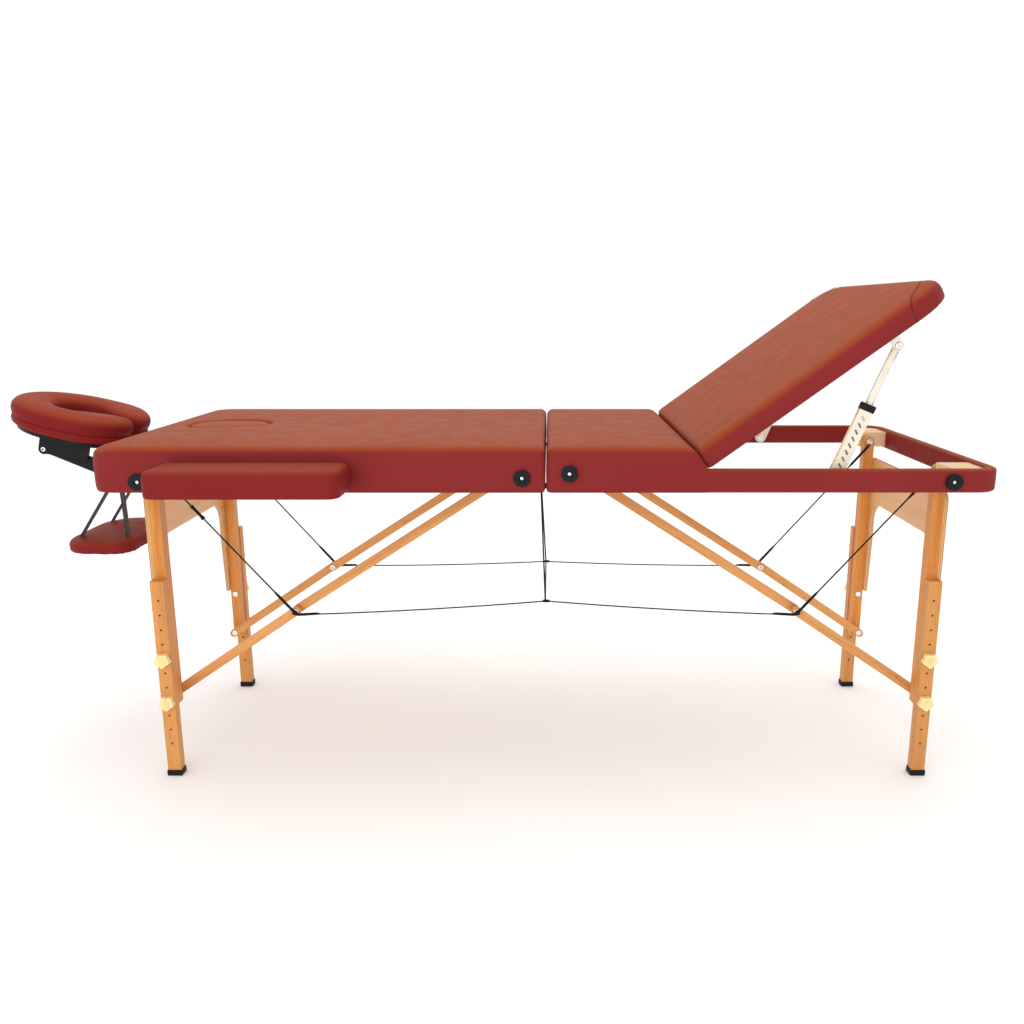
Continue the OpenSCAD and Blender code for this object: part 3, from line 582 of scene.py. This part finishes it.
def lathe(name, profile, at, axis, material, body, sides=28, lobes=0, depth=0.0, matrix=None):
    """Turned piece: profile [(radius, height)] about axis through at, lobed if asked."""
    axis = Vector(axis).normalized()
    u = axis.cross(Vector((0, 0, 1)) if abs(axis.z) < 0.9 else Vector((1, 0, 0))).normalized()
    v = axis.cross(u)
    verts, faces = [], []
    for r, h in profile:
        for k in range(sides):
            a = 2 * math.pi * k / sides
            rr = r * (1 + depth * math.cos(lobes * a)) if lobes else r
            verts.append(Vector(at) + axis * h + (u * math.cos(a) + v * math.sin(a)) * rr)
    for i in range(len(profile) - 1):
        for k in range(sides):
            j = (k + 1) % sides
            faces.append((i * sides + k, i * sides + j, (i + 1) * sides + j, (i + 1) * sides + k))
    faces.append(tuple(range(sides)))
    faces.append(tuple(range((len(profile) - 1) * sides, len(profile) * sides)))
    return make_object(name, verts, faces, material, body, matrix)


def bolt_head(name, at, out, body, radius=0.0072, height=0.0036, half=None):
    """Domed steel bolt head with a shallow dimple."""
    r, h = radius, height
    prof = [(r, 0), (r, h * 0.4), (r * 0.93, h * 0.7), (r * 0.75, h * 0.92), (r * 0.45, h),
            (r * 0.40, h * 0.97), (r * 0.36, h * 0.6), (r * 0.05, h * 0.55)]
    return lathe(name, prof, at, out, MAT["bolt"], body, 24, matrix=half)


def dress(node_name, material, width=0.0, segments=2, angle=40):
    """Give a CAD node its material and soften its edges."""
    obj = NODES[node_name]
    obj.data.materials.clear()
    obj.data.materials.append(material)
    for p in obj.data.polygons:
        p.material_index = 0
    if width:
        weld = obj.modifiers.new("weld", "WELD")
        weld.merge_threshold = 1e-5
        flat = obj.modifiers.new("flat_faces", "DECIMATE")
        flat.decimate_type = "DISSOLVE"
        flat.angle_limit = math.radians(1.0)
        bev = obj.modifiers.new("soft_edges", "BEVEL")
        bev.width = width
        bev.segments = segments
        bev.limit_method = "ANGLE"
        bev.angle_limit = math.radians(angle)
        bev.harden_normals = False
    return obj

# ---------------------------------------------------------------- camera, light and floor


def studio():
    scene = bpy.context.scene
    scene.view_settings.view_transform = "Standard"
    cam = bpy.data.cameras.new("camera")
    cam.sensor_width = 36.0
    cam.lens = 30.9
    cam.shift_x = -0.0367
    cam.shift_y = -0.0123
    cam_obj = bpy.data.objects.new("camera", cam)
    cam_obj.location = (FOLD_X + 0.0077, -2.0889, 1.045)
    cam_obj.rotation_euler = (math.pi / 2 - 0.2135, 0, 0)
    scene.collection.objects.link(cam_obj)
    scene.camera = cam_obj

    world = bpy.data.worlds.new("studio")
    world.use_nodes = True
    back = world.node_tree.nodes["Background"]
    back.inputs["Color"].default_value = (1.0, 1.0, 1.0, 1)
    back.inputs["Strength"].default_value = 1.04
    scene.world = world

    def area(name, place, aim, size, power, colour):
        light = bpy.data.lights.new(name, "AREA")
        light.size = size
        light.energy = power
        light.color = colour
        obj = bpy.data.objects.new(name, light)
        obj.location = place
        obj.rotation_euler = (Vector(aim) - Vector(place)).to_track_quat("-Z", "Y").to_euler()
        scene.collection.objects.link(obj)

    # one broad light above and one in front, both soft
    area("light_top", (0.2, 0.4, 3.6), (0, 0, 0.7), 3.0, 28, (1.0, 0.97, 0.93))
    area("light_front", (-1.0, -3.6, 1.5), (0, 0, 0.55), 2.4, 34, (1.0, 0.98, 0.97))

    floor_mat, nt, bsdf = new_material("floor_white")
    bsdf.inputs["Base Color"].default_value = (0.99, 0.99, 0.99, 1)
    bsdf.inputs["Roughness"].default_value = 0.9
    bsdf.inputs["Specular IOR Level"].default_value = 0.1
    mesh = bpy.data.meshes.new("floor")
    mesh.from_pydata([(-30, -30, 0), (30, -30, 0), (30, 30, 0), (-30, 30, 0)], [], [(0, 1, 2, 3)])
    mesh.materials.append(floor_mat)
    floor = bpy.data.objects.new("floor", mesh)
    scene.collection.objects.link(floor)


# ---------------------------------------------------------------- upholstery

SKIN = 0.0012


def skirt_profile(z_bottom, z_top, radius):
    """Vinyl pulled round a frame and pad: wrapped under, up the side and over the edge."""
    side = [(0.016, z_bottom - 0.0008), (0.004, z_bottom - 0.0012), (0.0004, z_bottom - 0.0004),
            (-SKIN, z_bottom + 0.0025)]
    height = z_top - radius - z_bottom
    side += [(-2 * SKIN - 0.0006 * math.sin(math.pi * k), z_bottom + height * (0.06 + 0.9 * k))
             for k in (0.1, 0.3, 0.5, 0.7, 0.9)]
    return side + edge_round(z_top, radius, 6, 2 * SKIN)


def build_pads():
    m_head, m_foot = half_matrix(-1), half_matrix(1)
    plug = stadium(0.754, 0, 0.185, 0.140)

    # the end edge is rounder than the sides
    profile = []
    for t, z in skirt_profile(UNDER_Z, TOP_Z - 0.001, 0.016):
        over = max(0.0, (z - TOP_Z + 0.030) / 0.029)
        profile.append((t, z, 0.014 * over ** 2.2))
    profile += [(0.024, TOP_Z - 0.0006, 0.020), (0.036, TOP_Z, 0.024)]
    hole_edge = [(0.016, 0), (0.011, -0.0008), (0.007, -0.0026), (0.004, -0.0060),
                 (0.0016, -0.011), (0.0006, -0.020), (0.0004, -0.050)]
    head = slab("head_upholstery", rounded_rect(0.0035, HALF_LEN, HALF_W, 0.010, 0.050), profile,
                MAT["vinyl"], "head_half", m_head, crown=0.003, reach=0.05, hole=plug,
                hole_profile=hole_edge, wobble=0.0007, seed=1.0,
                drop=lambda x, y, z: z < RAIL_Z - 0.002 and x < 0.02 and abs(y) < RAIL_INNER_Y)
    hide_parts("head_pad")

    plug_profile = [(0.004, 0.7242), (0.0012, 0.7246), (0.0010, 0.727), (0.0010, 0.745), (0.0008, 0.765)]
    plug_profile += [(0.0008 + t, z) for t, z in edge_round(0.7762, 0.010, 5)]
    piece = slab("face_plug_pad", plug, plug_profile, MAT["vinyl"], "face_plug", m_head,
                 crown=0.0016, reach=0.02, bottom=True, grid=0.014, seed=4.0)
    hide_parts("face_hole_plug")

    # the seat's end face leans back so that the raised backrest's end lies along it
    profile = []
    for t, z in skirt_profile(UNDER_Z, TOP_Z - 0.001, 0.016):
        profile.append((t, z, max(0.0, (z - 0.7297) * 0.734)))
    lean = (TOP_Z - 0.7307) * 0.734
    profile += [(0.024, TOP_Z - 0.0006, lean), (0.036, TOP_Z, lean)]
    piece = slab("seat_upholstery", rounded_rect(0.0035, 0.326, HALF_W, 0.010, 0.004), profile,
                 MAT["vinyl"], "foot_half", m_foot, crown=0.0022, reach=0.05, wobble=0.0006,
                 seed=2.0, drop=lambda x, y, z: z < RAIL_Z - 0.002 and abs(y) < RAIL_INNER_Y)
    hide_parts("seat_pad")

    for side, body, node_name in ((-1, "head_half", "head_frame"), (1, "foot_half", "foot_frame")):
        t = RAIL_T
        section = [(0.003, UNDER_Z - 0.0006), (0.0004, UNDER_Z + 0.001), (-0.0009, UNDER_Z + 0.005),
                   (-SKIN, UNDER_Z + 0.015), (-SKIN, RAIL_Z - 0.012), (-0.0008, RAIL_Z - 0.004),
                   (0.0008, RAIL_Z - 0.0012), (0.004, RAIL_Z + 0.0004), (t / 2, RAIL_Z + 0.0008),
                   (t - 0.004, RAIL_Z + 0.0004), (t - 0.0008, RAIL_Z - 0.001), (t + 0.0006, RAIL_Z - 0.005),
                   (t + 0.0008, UNDER_Z + 0.02), (t + 0.0004, UNDER_Z + 0.004), (t - 0.003, UNDER_Z - 0.0006)]
        cover = ring_cover(f"{node_name}_cover", rounded_rect(0.003, HALF_LEN, HALF_W, 0.006, 0.050), section,
                           MAT["vinyl"], body, half_matrix(side))
        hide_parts(node_name)

    z0 = 0.006
    profile = [(0.004, z0 + 0.0003), (0.0015, z0 + 0.0003), (0.0002, z0 + 0.0010), (-0.0008, z0 + 0.004)]
    profile += [(-0.0018, z0 + 0.012), (-0.0026, 0.020), (-0.0024, 0.028)]
    top = [(t, z, 0.018 * (k / 6) ** 1.5) for k, (t, z) in enumerate(edge_round(0.0522, 0.019, 6, 0.0014))]
    profile = [(t, z, 0.0) for t, z in profile] + top + [(0.028, 0.0527, 0.024), (0.044, 0.0530, 0.028)]
    back = slab("backrest_upholstery", rounded_rect(0.0038, BACK_LEN - 0.0008, BACK_HALF_W, 0.012, 0.085, 14),
                profile, MAT["vinyl_back"], "backrest", RAISED, crown=0.0026, reach=0.06,
                wobble=0.0007, seed=3.0)
    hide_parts("backrest_pad")

    # a short seam at each corner of the far end: up the side, over the edge and off the end
    for s in (-1, 1):
        seam = [(0.491 + 0.004 * k / 8, s * (BACK_HALF_W + 0.0024), 0.006 + 0.024 * k / 8) for k in range(9)]
        for k in range(1, 8):
            a = math.pi / 2 * k / 8
            seam.append((0.495 + 0.020 * (k / 8) ** 1.3, s * (BACK_HALF_W - 0.019 + 0.0210 * math.cos(a)),
                         0.0332 + 0.0193 * math.sin(a)))
        for k in range(1, 11):
            u = k / 10
            y = BACK_HALF_W - 0.020 - 0.060 * u ** 1.2
            seam.append((0.515 + 0.050 * u, s * y, 0.0530 + 0.0012 * (1 - u)))
        tube(f"backrest_seam_{'lr'[s < 0]}", seam, 0.0006, MAT["vinyl_seam"], "backrest",
             6, RAISED)


def build_armrests():
    for side, tag in ((1, "right"), (-1, "left")):
        lo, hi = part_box(f"armrest_pad_{tag}")
        base_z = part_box(f"armrest_base_{tag}")[0][2] + 0.0222
        cx, cy = (lo[0] + hi[0]) / 2, (lo[1] + hi[1]) / 2
        length, width = hi[0] - lo[0], hi[1] - lo[1]
        half_length = length / 2 - 0.001
        outline = rounded_rect(-half_length, half_length, width / 2 + 0.0008, 0.022, 0.022, 7, 0.016)
        z0, z1 = base_z - 0.0006, hi[2]
        profile = [(0.014, z0), (0.004, z0 - 0.0006), (0.0006, z0 + 0.0004), (-0.0004, z0 + 0.003),
                   (-0.0010, z0 + 0.012), (-0.0014, z0 + 0.024)]
        profile += edge_round(z1 - 0.0015, 0.013, 6, 0.0008) + [(0.020, z1 - 0.0012), (0.028, z1 - 0.0009)]
        pad = slab(f"armrest_pad_{tag}_cover", outline, profile, MAT["vinyl_arm"], f"armrest_{tag}",
                   Matrix.Translation((cx, cy, 0)), crown=0.003, reach=0.03, grid=0.016,
                   wobble=0.0006, seed=5.0 + side)
        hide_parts(f"armrest_pad_{tag}")
        for k in (-1, 1):
            at = (FOLD_X - ARMREST_D + k * PEG_HALF_SPACING, -side * (HALF_W + 0.0025), PEG_Z)
            collar = [(0.0056, -0.006), (0.0095, -0.004), (0.0095, -0.0015), (0.0085, -0.0006),
                      (0.0058, -0.0006)]
            lathe(f"peg_collar_{tag}_{'fb'[k > 0]}", collar, at, (0, -side, 0), MAT["bolt"],
                  "head_half", 24)


def build_cradle_pad():
    half_out, length, hole_r, slot_r, slot_len, tip_r = 0.145, 0.275, 0.063, 0.015, 0.052, 0.100
    tip = 0.118
    x0, xc, xs = tip - length, tip - half_out, tip - length + slot_len

    def arc(cx, cy, r, start, stop, n):
        angles = (math.radians(start + (stop - start) * i / n) for i in range(n + 1))
        return [(cx + r * math.cos(a), cy + r * math.sin(a)) for a in angles]

    def outline(t, nose=0.0):
        r, hr, sr, er = half_out - t, hole_r + t, slot_r + t, tip_r - t
        nose_r = max(0.013 - t, 0.0006)
        pts = arc(xc, 0, r, -90, 90, 36)
        half = [(xc - 0.015, r)] + arc(x0 + t + er, r - er, er, 90, 180, 14)
        half += arc(x0 + t + nose_r, sr + nose_r, nose_r, 180, 270, 5)
        mouth = math.degrees(math.acos(-0.020 / hr))
        near, end = (xs, sr), (xc - 0.020, hr * math.sin(math.radians(mouth)))
        half += [(x0 + 0.026 + (xs - x0 - 0.026) * k / 3, sr) for k in (1, 2)]
        for k in range(1, 7):
            # an easy bend from the slot's wall into the flare
            u = k / 7
            bend = (1 - u) ** 2 * 0.012
            half.append((near[0] + (end[0] - near[0]) * u - bend, near[1] + (end[1] - near[1]) * u ** 1.15))
        ring = arc(xc, 0, hr, mouth, 0, 15)
        back = [(x, -y) for x, y in reversed(half + ring[:-1])]
        return pts + half + ring + back

    z0, z1 = 0.042, 0.100
    profile = [(0.012, z0 - 0.001), (0.006, z0), (0.002, z0 + 0.003), (0.0002, z0 + 0.009),
               (0.0012, z0 + 0.0155), (0.0028, z0 + 0.0180), (0.0010, z0 + 0.0202),
               (-0.0012, z0 + 0.025), (-0.0026, z0 + 0.033)]
    profile += edge_round(z1 - 0.001, 0.022, 7, 0.0026) + [(0.026, z1 + 0.0004)]
    pad = slab("cradle_pad_cover", outline, profile, MAT["vinyl_cradle"], "cradle_head", SLOPED,
               crown=0.0012, reach=0.02, grid=0.011, bottom=True, wobble=0.0008, seed=9.0)
    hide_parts("cradle_pad")
    seam = [(x, y, z0 + 0.0180) for x, y in outline(0.0016)]
    seam.append(seam[0])
    tube("cradle_pad_seam", seam, 0.0007, MAT["vinyl_seam"], "cradle_head", 6, SLOPED)


def build_shelf():
    lo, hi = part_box("shelf_pad")
    length, width = hi[0] - lo[0], hi[1] - lo[1]
    outline = rounded_rect(SHELF_D - length / 2 + 0.001, SHELF_D + length / 2 - 0.001, width / 2 - 0.001,
                           0.040, 0.082, 10, 0.006)
    z0, z1 = lo[2], hi[2]
    profile = [(0.010, z0 + 0.001), (0.0045, z0 - 0.0004), (0.0006, z0 + 0.0012), (0.0002, z0 + 0.005),
               (0.0006, z0 + 0.009)]
    profile += edge_round(z1 - 0.003, 0.014, 6, 0.0002) + [(0.022, z1 - 0.0018), (0.032, z1 - 0.0004)]
    pad = slab("shelf_pad_cover", outline, profile, MAT["vinyl_arm"], "arm_shelf",
               half_matrix(-1), crown=0.003, reach=0.03, grid=0.014, bottom=True, wobble=0.0012,
               ruffle=0.0022, seed=12.0)
    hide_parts("shelf_pad")


# ---------------------------------------------------------------- cables


def sag_line(a, b, sag, n):
    a, b = Vector(a), Vector(b)
    return [a.lerp(b, i / n) + Vector((0, 0, -4 * sag * (i / n) * (1 - i / n))) for i in range(n + 1)]


def build_stays():
    for side, half in ((-1, "head"), (1, "foot")):
        m = half_matrix(side)
        body = f"{half}_half"
        pieces = []

        def add_tube(name, line, radii, sides=10):
            pieces.append(tube(name, line, radii, MAT["cable"], body, sides, m))

        def cable(tag, a, b, sag=0.0, sleeve=None):
            radius = 0.0016 if sag else 0.0018
            add_tube(f"{half}_cable_{tag}", sag_line(a, b, sag, 12), radius, 8)
            for end, (p, q) in (("a", (a, b)), ("b", (b, a))):
                if sleeve and end in sleeve:
                    d = (Vector(q) - Vector(p)).normalized()
                    start = Vector(p) + d * 0.006
                    line = [start + d * (sleeve[end] * k / 6) for k in range(7)]
                    radii = [0.0030, 0.0032, 0.0032, 0.0031, 0.0031, 0.0030, 0.0019]
                    add_tube(f"{half}_sleeve_{tag}_{end}", line, radii)

        for s, hand, dip in ((-1, "right", NEAR_DIP), (1, "left", FAR_DIP)):
            y = s * STAY_Y
            top = (LEG_D, y, LEG_PIVOT_Z - 0.006)
            knuckle = (KNUCKLE_D, y, KNUCKLE_Z)
            cable(f"end_{hand}", top, knuckle, 0.0, {"a": 0.075, "b": 0.060})
            if side < 0 and s < 0:
                # a short sleeve with splayed ends, seen just below the armrest
                line = [Vector(top).lerp(Vector(knuckle), 0.24 + 0.09 * k / 6) for k in range(7)]
                radii = [0.0046, 0.0034, 0.0032, 0.0032, 0.0033, 0.0038, 0.0052]
                add_tube("head_stay_sleeve", line, radii)
            cable(f"span_{hand}", (KNUCKLE_D, y, KNUCKLE_Z - 0.005), (0.0, y, dip), 0.004, {"a": 0.050})
            eye = [(0.001, -0.003), (0.0052, -0.003), (0.0060, -0.0015),
                   (0.0060, 0.0015), (0.0052, 0.003), (0.001, 0.003)]
            pieces.append(lathe(f"{half}_cable_eye_{hand}", eye, knuckle, (0, 1, 0), MAT["cable"],
                                body, 18, matrix=m))
        for p in pieces:
            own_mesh(p)
        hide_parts(f"{half}_stays")
        if side < 0:
            pieces, body = [], "fold_link"
            top = (0.015, 0, UNDER_Z - 0.002)
            cable("drop_right", top, (0.002, -STAY_Y, NEAR_DIP), 0.0, {"a": 0.03})
            cable("drop_left", top, (0.002, STAY_Y, FAR_DIP), 0.0, {"a": 0.03})
            cable("link", (0.002, -STAY_Y, NEAR_DIP), (0.002, STAY_Y, FAR_DIP), 0.0)
            for s, hand, dip in ((-1, "right", NEAR_DIP), (1, "left", FAR_DIP)):
                line = [(0.008 - 0.016 * k / 4, s * STAY_Y, dip + 0.0002) for k in range(5)]
                add_tube(f"cable_clamp_{hand}", line, [0.0026, 0.0033, 0.0034, 0.0033, 0.0026])
            for p in pieces:
                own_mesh(p)
            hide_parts("drop_stays")


# ---------------------------------------------------------------- wood, legs and hardware


def build_frame_parts():
    for half in ("head", "foot"):
        dress(f"{half}_upper_legs", MAT["upper"], 0.0016)
        dress(f"{half}_leg_panel", MAT["panel"], 0.0009)
        dress(f"{half}_leg_studs", MAT["bolt"], 0.0006)
        dress(f"{half}_blocks", MAT["block"], 0.0012)
        dress(f"{half}_bumpers", MAT["rubber"], 0.0020, 3)
        for hand in ("right", "left"):
            dress(f"lower_leg_{half}_{hand}", MAT["lower"], 0.0014)
            dress(f"foot_cap_{half}_{hand}", MAT["rubber"], 0.0014)
            for level in ("top", "low"):
                dress(f"knob_{half}_{hand}_{level}", MAT["knob"], 0.0014, 3, 30)
    dress("head_hardware", MAT["bolt"], 0.0004)
    dress("foot_bolts", MAT["bolt"], 0.0006)
    dress("foot_hinge_leaves", MAT["zinc"], 0.0003)
    dress("fold_pins", MAT["bolt"], 0.0003)
    dress("head_deck", MAT["deck"])
    dress("seat_deck", MAT["deck"])
    dress("hinge_rail", MAT["rail"], 0.0012)
    dress("backrest_board", MAT["board"], 0.0008)
    dress("backrest_hinges", MAT["zinc"], 0.0004)
    dress("ratchet_bars", MAT["pale"], 0.0006)
    dress("ratchet_channels", MAT["pale"], 0.0006)
    dress("cradle_posts", MAT["bolt"], 0.0006)
    dress("cradle_arms", MAT["black"], 0.0010)
    dress("cradle_platform", MAT["black"], 0.0012)
    dress("shelf_straps", MAT["strap"], 0.0003)
    for hand in ("right", "left"):
        dress(f"armrest_base_{hand}", MAT["block"], 0.0010)

    up_angle = math.atan2(BRACE_TOP_Z - KNUCKLE_Z, KNUCKLE_D - BRACE_TOP_D)
    low_angle = math.atan2(KNUCKLE_Z - LOW_KNOB_Z, LEG_D - KNUCKLE_D)
    for side, half in ((-1, "head"), (1, "foot")):
        dress(f"{half}_upper_braces", brace_material(f"upper_brace_{half}", -side, up_angle), 0.0012)
        dress(f"{half}_lower_braces", brace_material(f"lower_brace_{half}", -side, low_angle), 0.0012)


BOLT_SINK = 0.0001
KNOB_FACE_Y = 0.2716
CHANNEL_LEN = 0.170
ARM_MID_Y = 0.314
INSERT_PROFILE = [(0.0052, 0.0), (0.0052, 0.0012), (0.0044, 0.0018), (0.0030, 0.0018),
                  (0.0028, 0.0010), (0.0002, 0.0010)]
WASHER_PROFILE = [(0.0048, -0.001), (0.0048, 0.0002), (0.0030, 0.0010), (0.0006, 0.0010)]


def build_hardware():
    for side, half in ((-1, "head"), (1, "foot")):
        m = half_matrix(side)
        for s, hand in ((-1, "right"), (1, "left")):
            # knuckle bolts, on the faces that show from the near side and from the far one
            inner_y = UP_BRACE_Y - BOLT_SINK
            outer_y = LOW_BRACE_Y + BRACE_T - BOLT_SINK
            bolt_head(f"{half}_knuckle_bolt_{hand}", (KNUCKLE_D, s * inner_y, KNUCKLE_Z),
                      (0, -s, 0), f"{half}_upper_brace_pair", 0.0076, 0.0042, m)
            bolt_head(f"{half}_knuckle_nut_{hand}", (KNUCKLE_D, s * outer_y, KNUCKLE_Z),
                      (0, s, 0), f"{half}_lower_brace_pair", 0.0076, 0.0042, m)
            for level, z in (("top", KNOB_Z), ("low", LOW_KNOB_Z)):
                # threaded insert and bolt end in the middle of each star knob
                lathe(f"knob_insert_{half}_{hand}_{level}", INSERT_PROFILE, (LEG_D, s * KNOB_FACE_Y, z),
                      (0, s, 0), MAT["knob"], f"knob_{half}_{hand}_{level}", 20, matrix=m)
        for tag, d, rise in (("inner", 0.048, 0.008 if side < 0 else 0.017), ("outer", 0.822, 0.0)):
            at = (d, -(HALF_W + 0.0052), LEG_PIVOT_Z + rise)
            lathe(f"{half}_bumper_washer_{tag}", WASHER_PROFILE, at, (0, -1, 0), MAT["bolt"],
                  f"{half}_half", 22, matrix=m)
    # pivot bolts of the cradle's arms
    for s, hand in ((-1, "right"), (1, "left")):
        bolt_head(f"cradle_pivot_bolt_{hand}", (ARM2_D, s * 0.1030, ARM2_Z), (0, s, 0),
                  "cradle_head", 0.0058, 0.0030, half_matrix(-1))
    build_ratchet()


def build_ratchet():
    """Bolts of the ratchet, the collar and bright edges of each channel, and the bars' two rods."""
    along = (ARM_Q - ARM_P).normalized()
    turn = Matrix.Translation(ARM_Q) @ Matrix.Rotation(math.pi - math.atan2(along.z, along.x), 4, "Y")
    arm_len = (ARM_Q - ARM_P).length
    for s, hand in ((-1, "right"), (1, "left")):
        bolt_head(f"ratchet_bolt_{hand}", (ARM_Q.x, s * 0.3212, ARM_Q.z), (0, s, 0),
                  "backrest", 0.0075, 0.0038)
        bolt_head(f"ratchet_bolt_inner_{hand}", (ARM_Q.x, s * 0.3062, ARM_Q.z), (0, -s, 0),
                  "backrest", 0.0075, 0.0038)
        bolt_head(f"ratchet_foot_bolt_{hand}", (ARM_P.x, s * 0.3080, ARM_P.z), (0, -s, 0),
                  "ratchet_channel_pair", 0.0085, 0.0030)
        mouth = arm_len - CHANNEL_LEN
        collar = rounded_rect(-0.0075, 0.0075, 0.0155, 0.002, 0.002, 3, 0.05)
        ring = [(x, y, z) for z in (-0.0068, -0.0058, 0.0058, 0.0068) for x, y in
                collar(0.0008 if abs(z) > 0.006 else 0.0)]
        n = len(ring) // 4
        faces = [(k * n + i, k * n + (i + 1) % n, (k + 1) * n + (i + 1) % n, (k + 1) * n + i)
                 for k in range(3) for i in range(n)]
        faces += [tuple(range(n)), tuple(range(3 * n, 4 * n))]
        upright = Matrix.Rotation(math.pi / 2, 4, "X")
        place = turn @ Matrix.Translation((mouth + 0.008, s * ARM_MID_Y, 0)) @ upright
        make_object(f"ratchet_collar_{hand}", ring, faces, MAT["rubber"], "ratchet_channel_pair",
                    place)
        for edge in (-1, 1):
            tag = f"{hand}_{'ab'[edge > 0]}"
            rod = [turn @ Vector((x, s * 0.3163, edge * 0.0062))
                   for x in np.linspace(0.012, mouth + 0.002, 6)]
            tube(f"bar_rod_{tag}", rod, 0.0014, MAT["zinc"], "ratchet_bar_pair", 8)
            strip = [turn @ Vector((x, s * ARM_MID_Y, edge * 0.0146))
                     for x in np.linspace(mouth + 0.012, arm_len - 0.004, 6)]
            tube(f"channel_edge_{tag}", strip, 0.0011, MAT["gold"], "ratchet_channel_pair", 6)


studio()
build_pads()
build_armrests()
build_cradle_pad()
build_shelf()
build_stays()
build_frame_parts()
build_hardware()

bpy.context.view_layer.update()
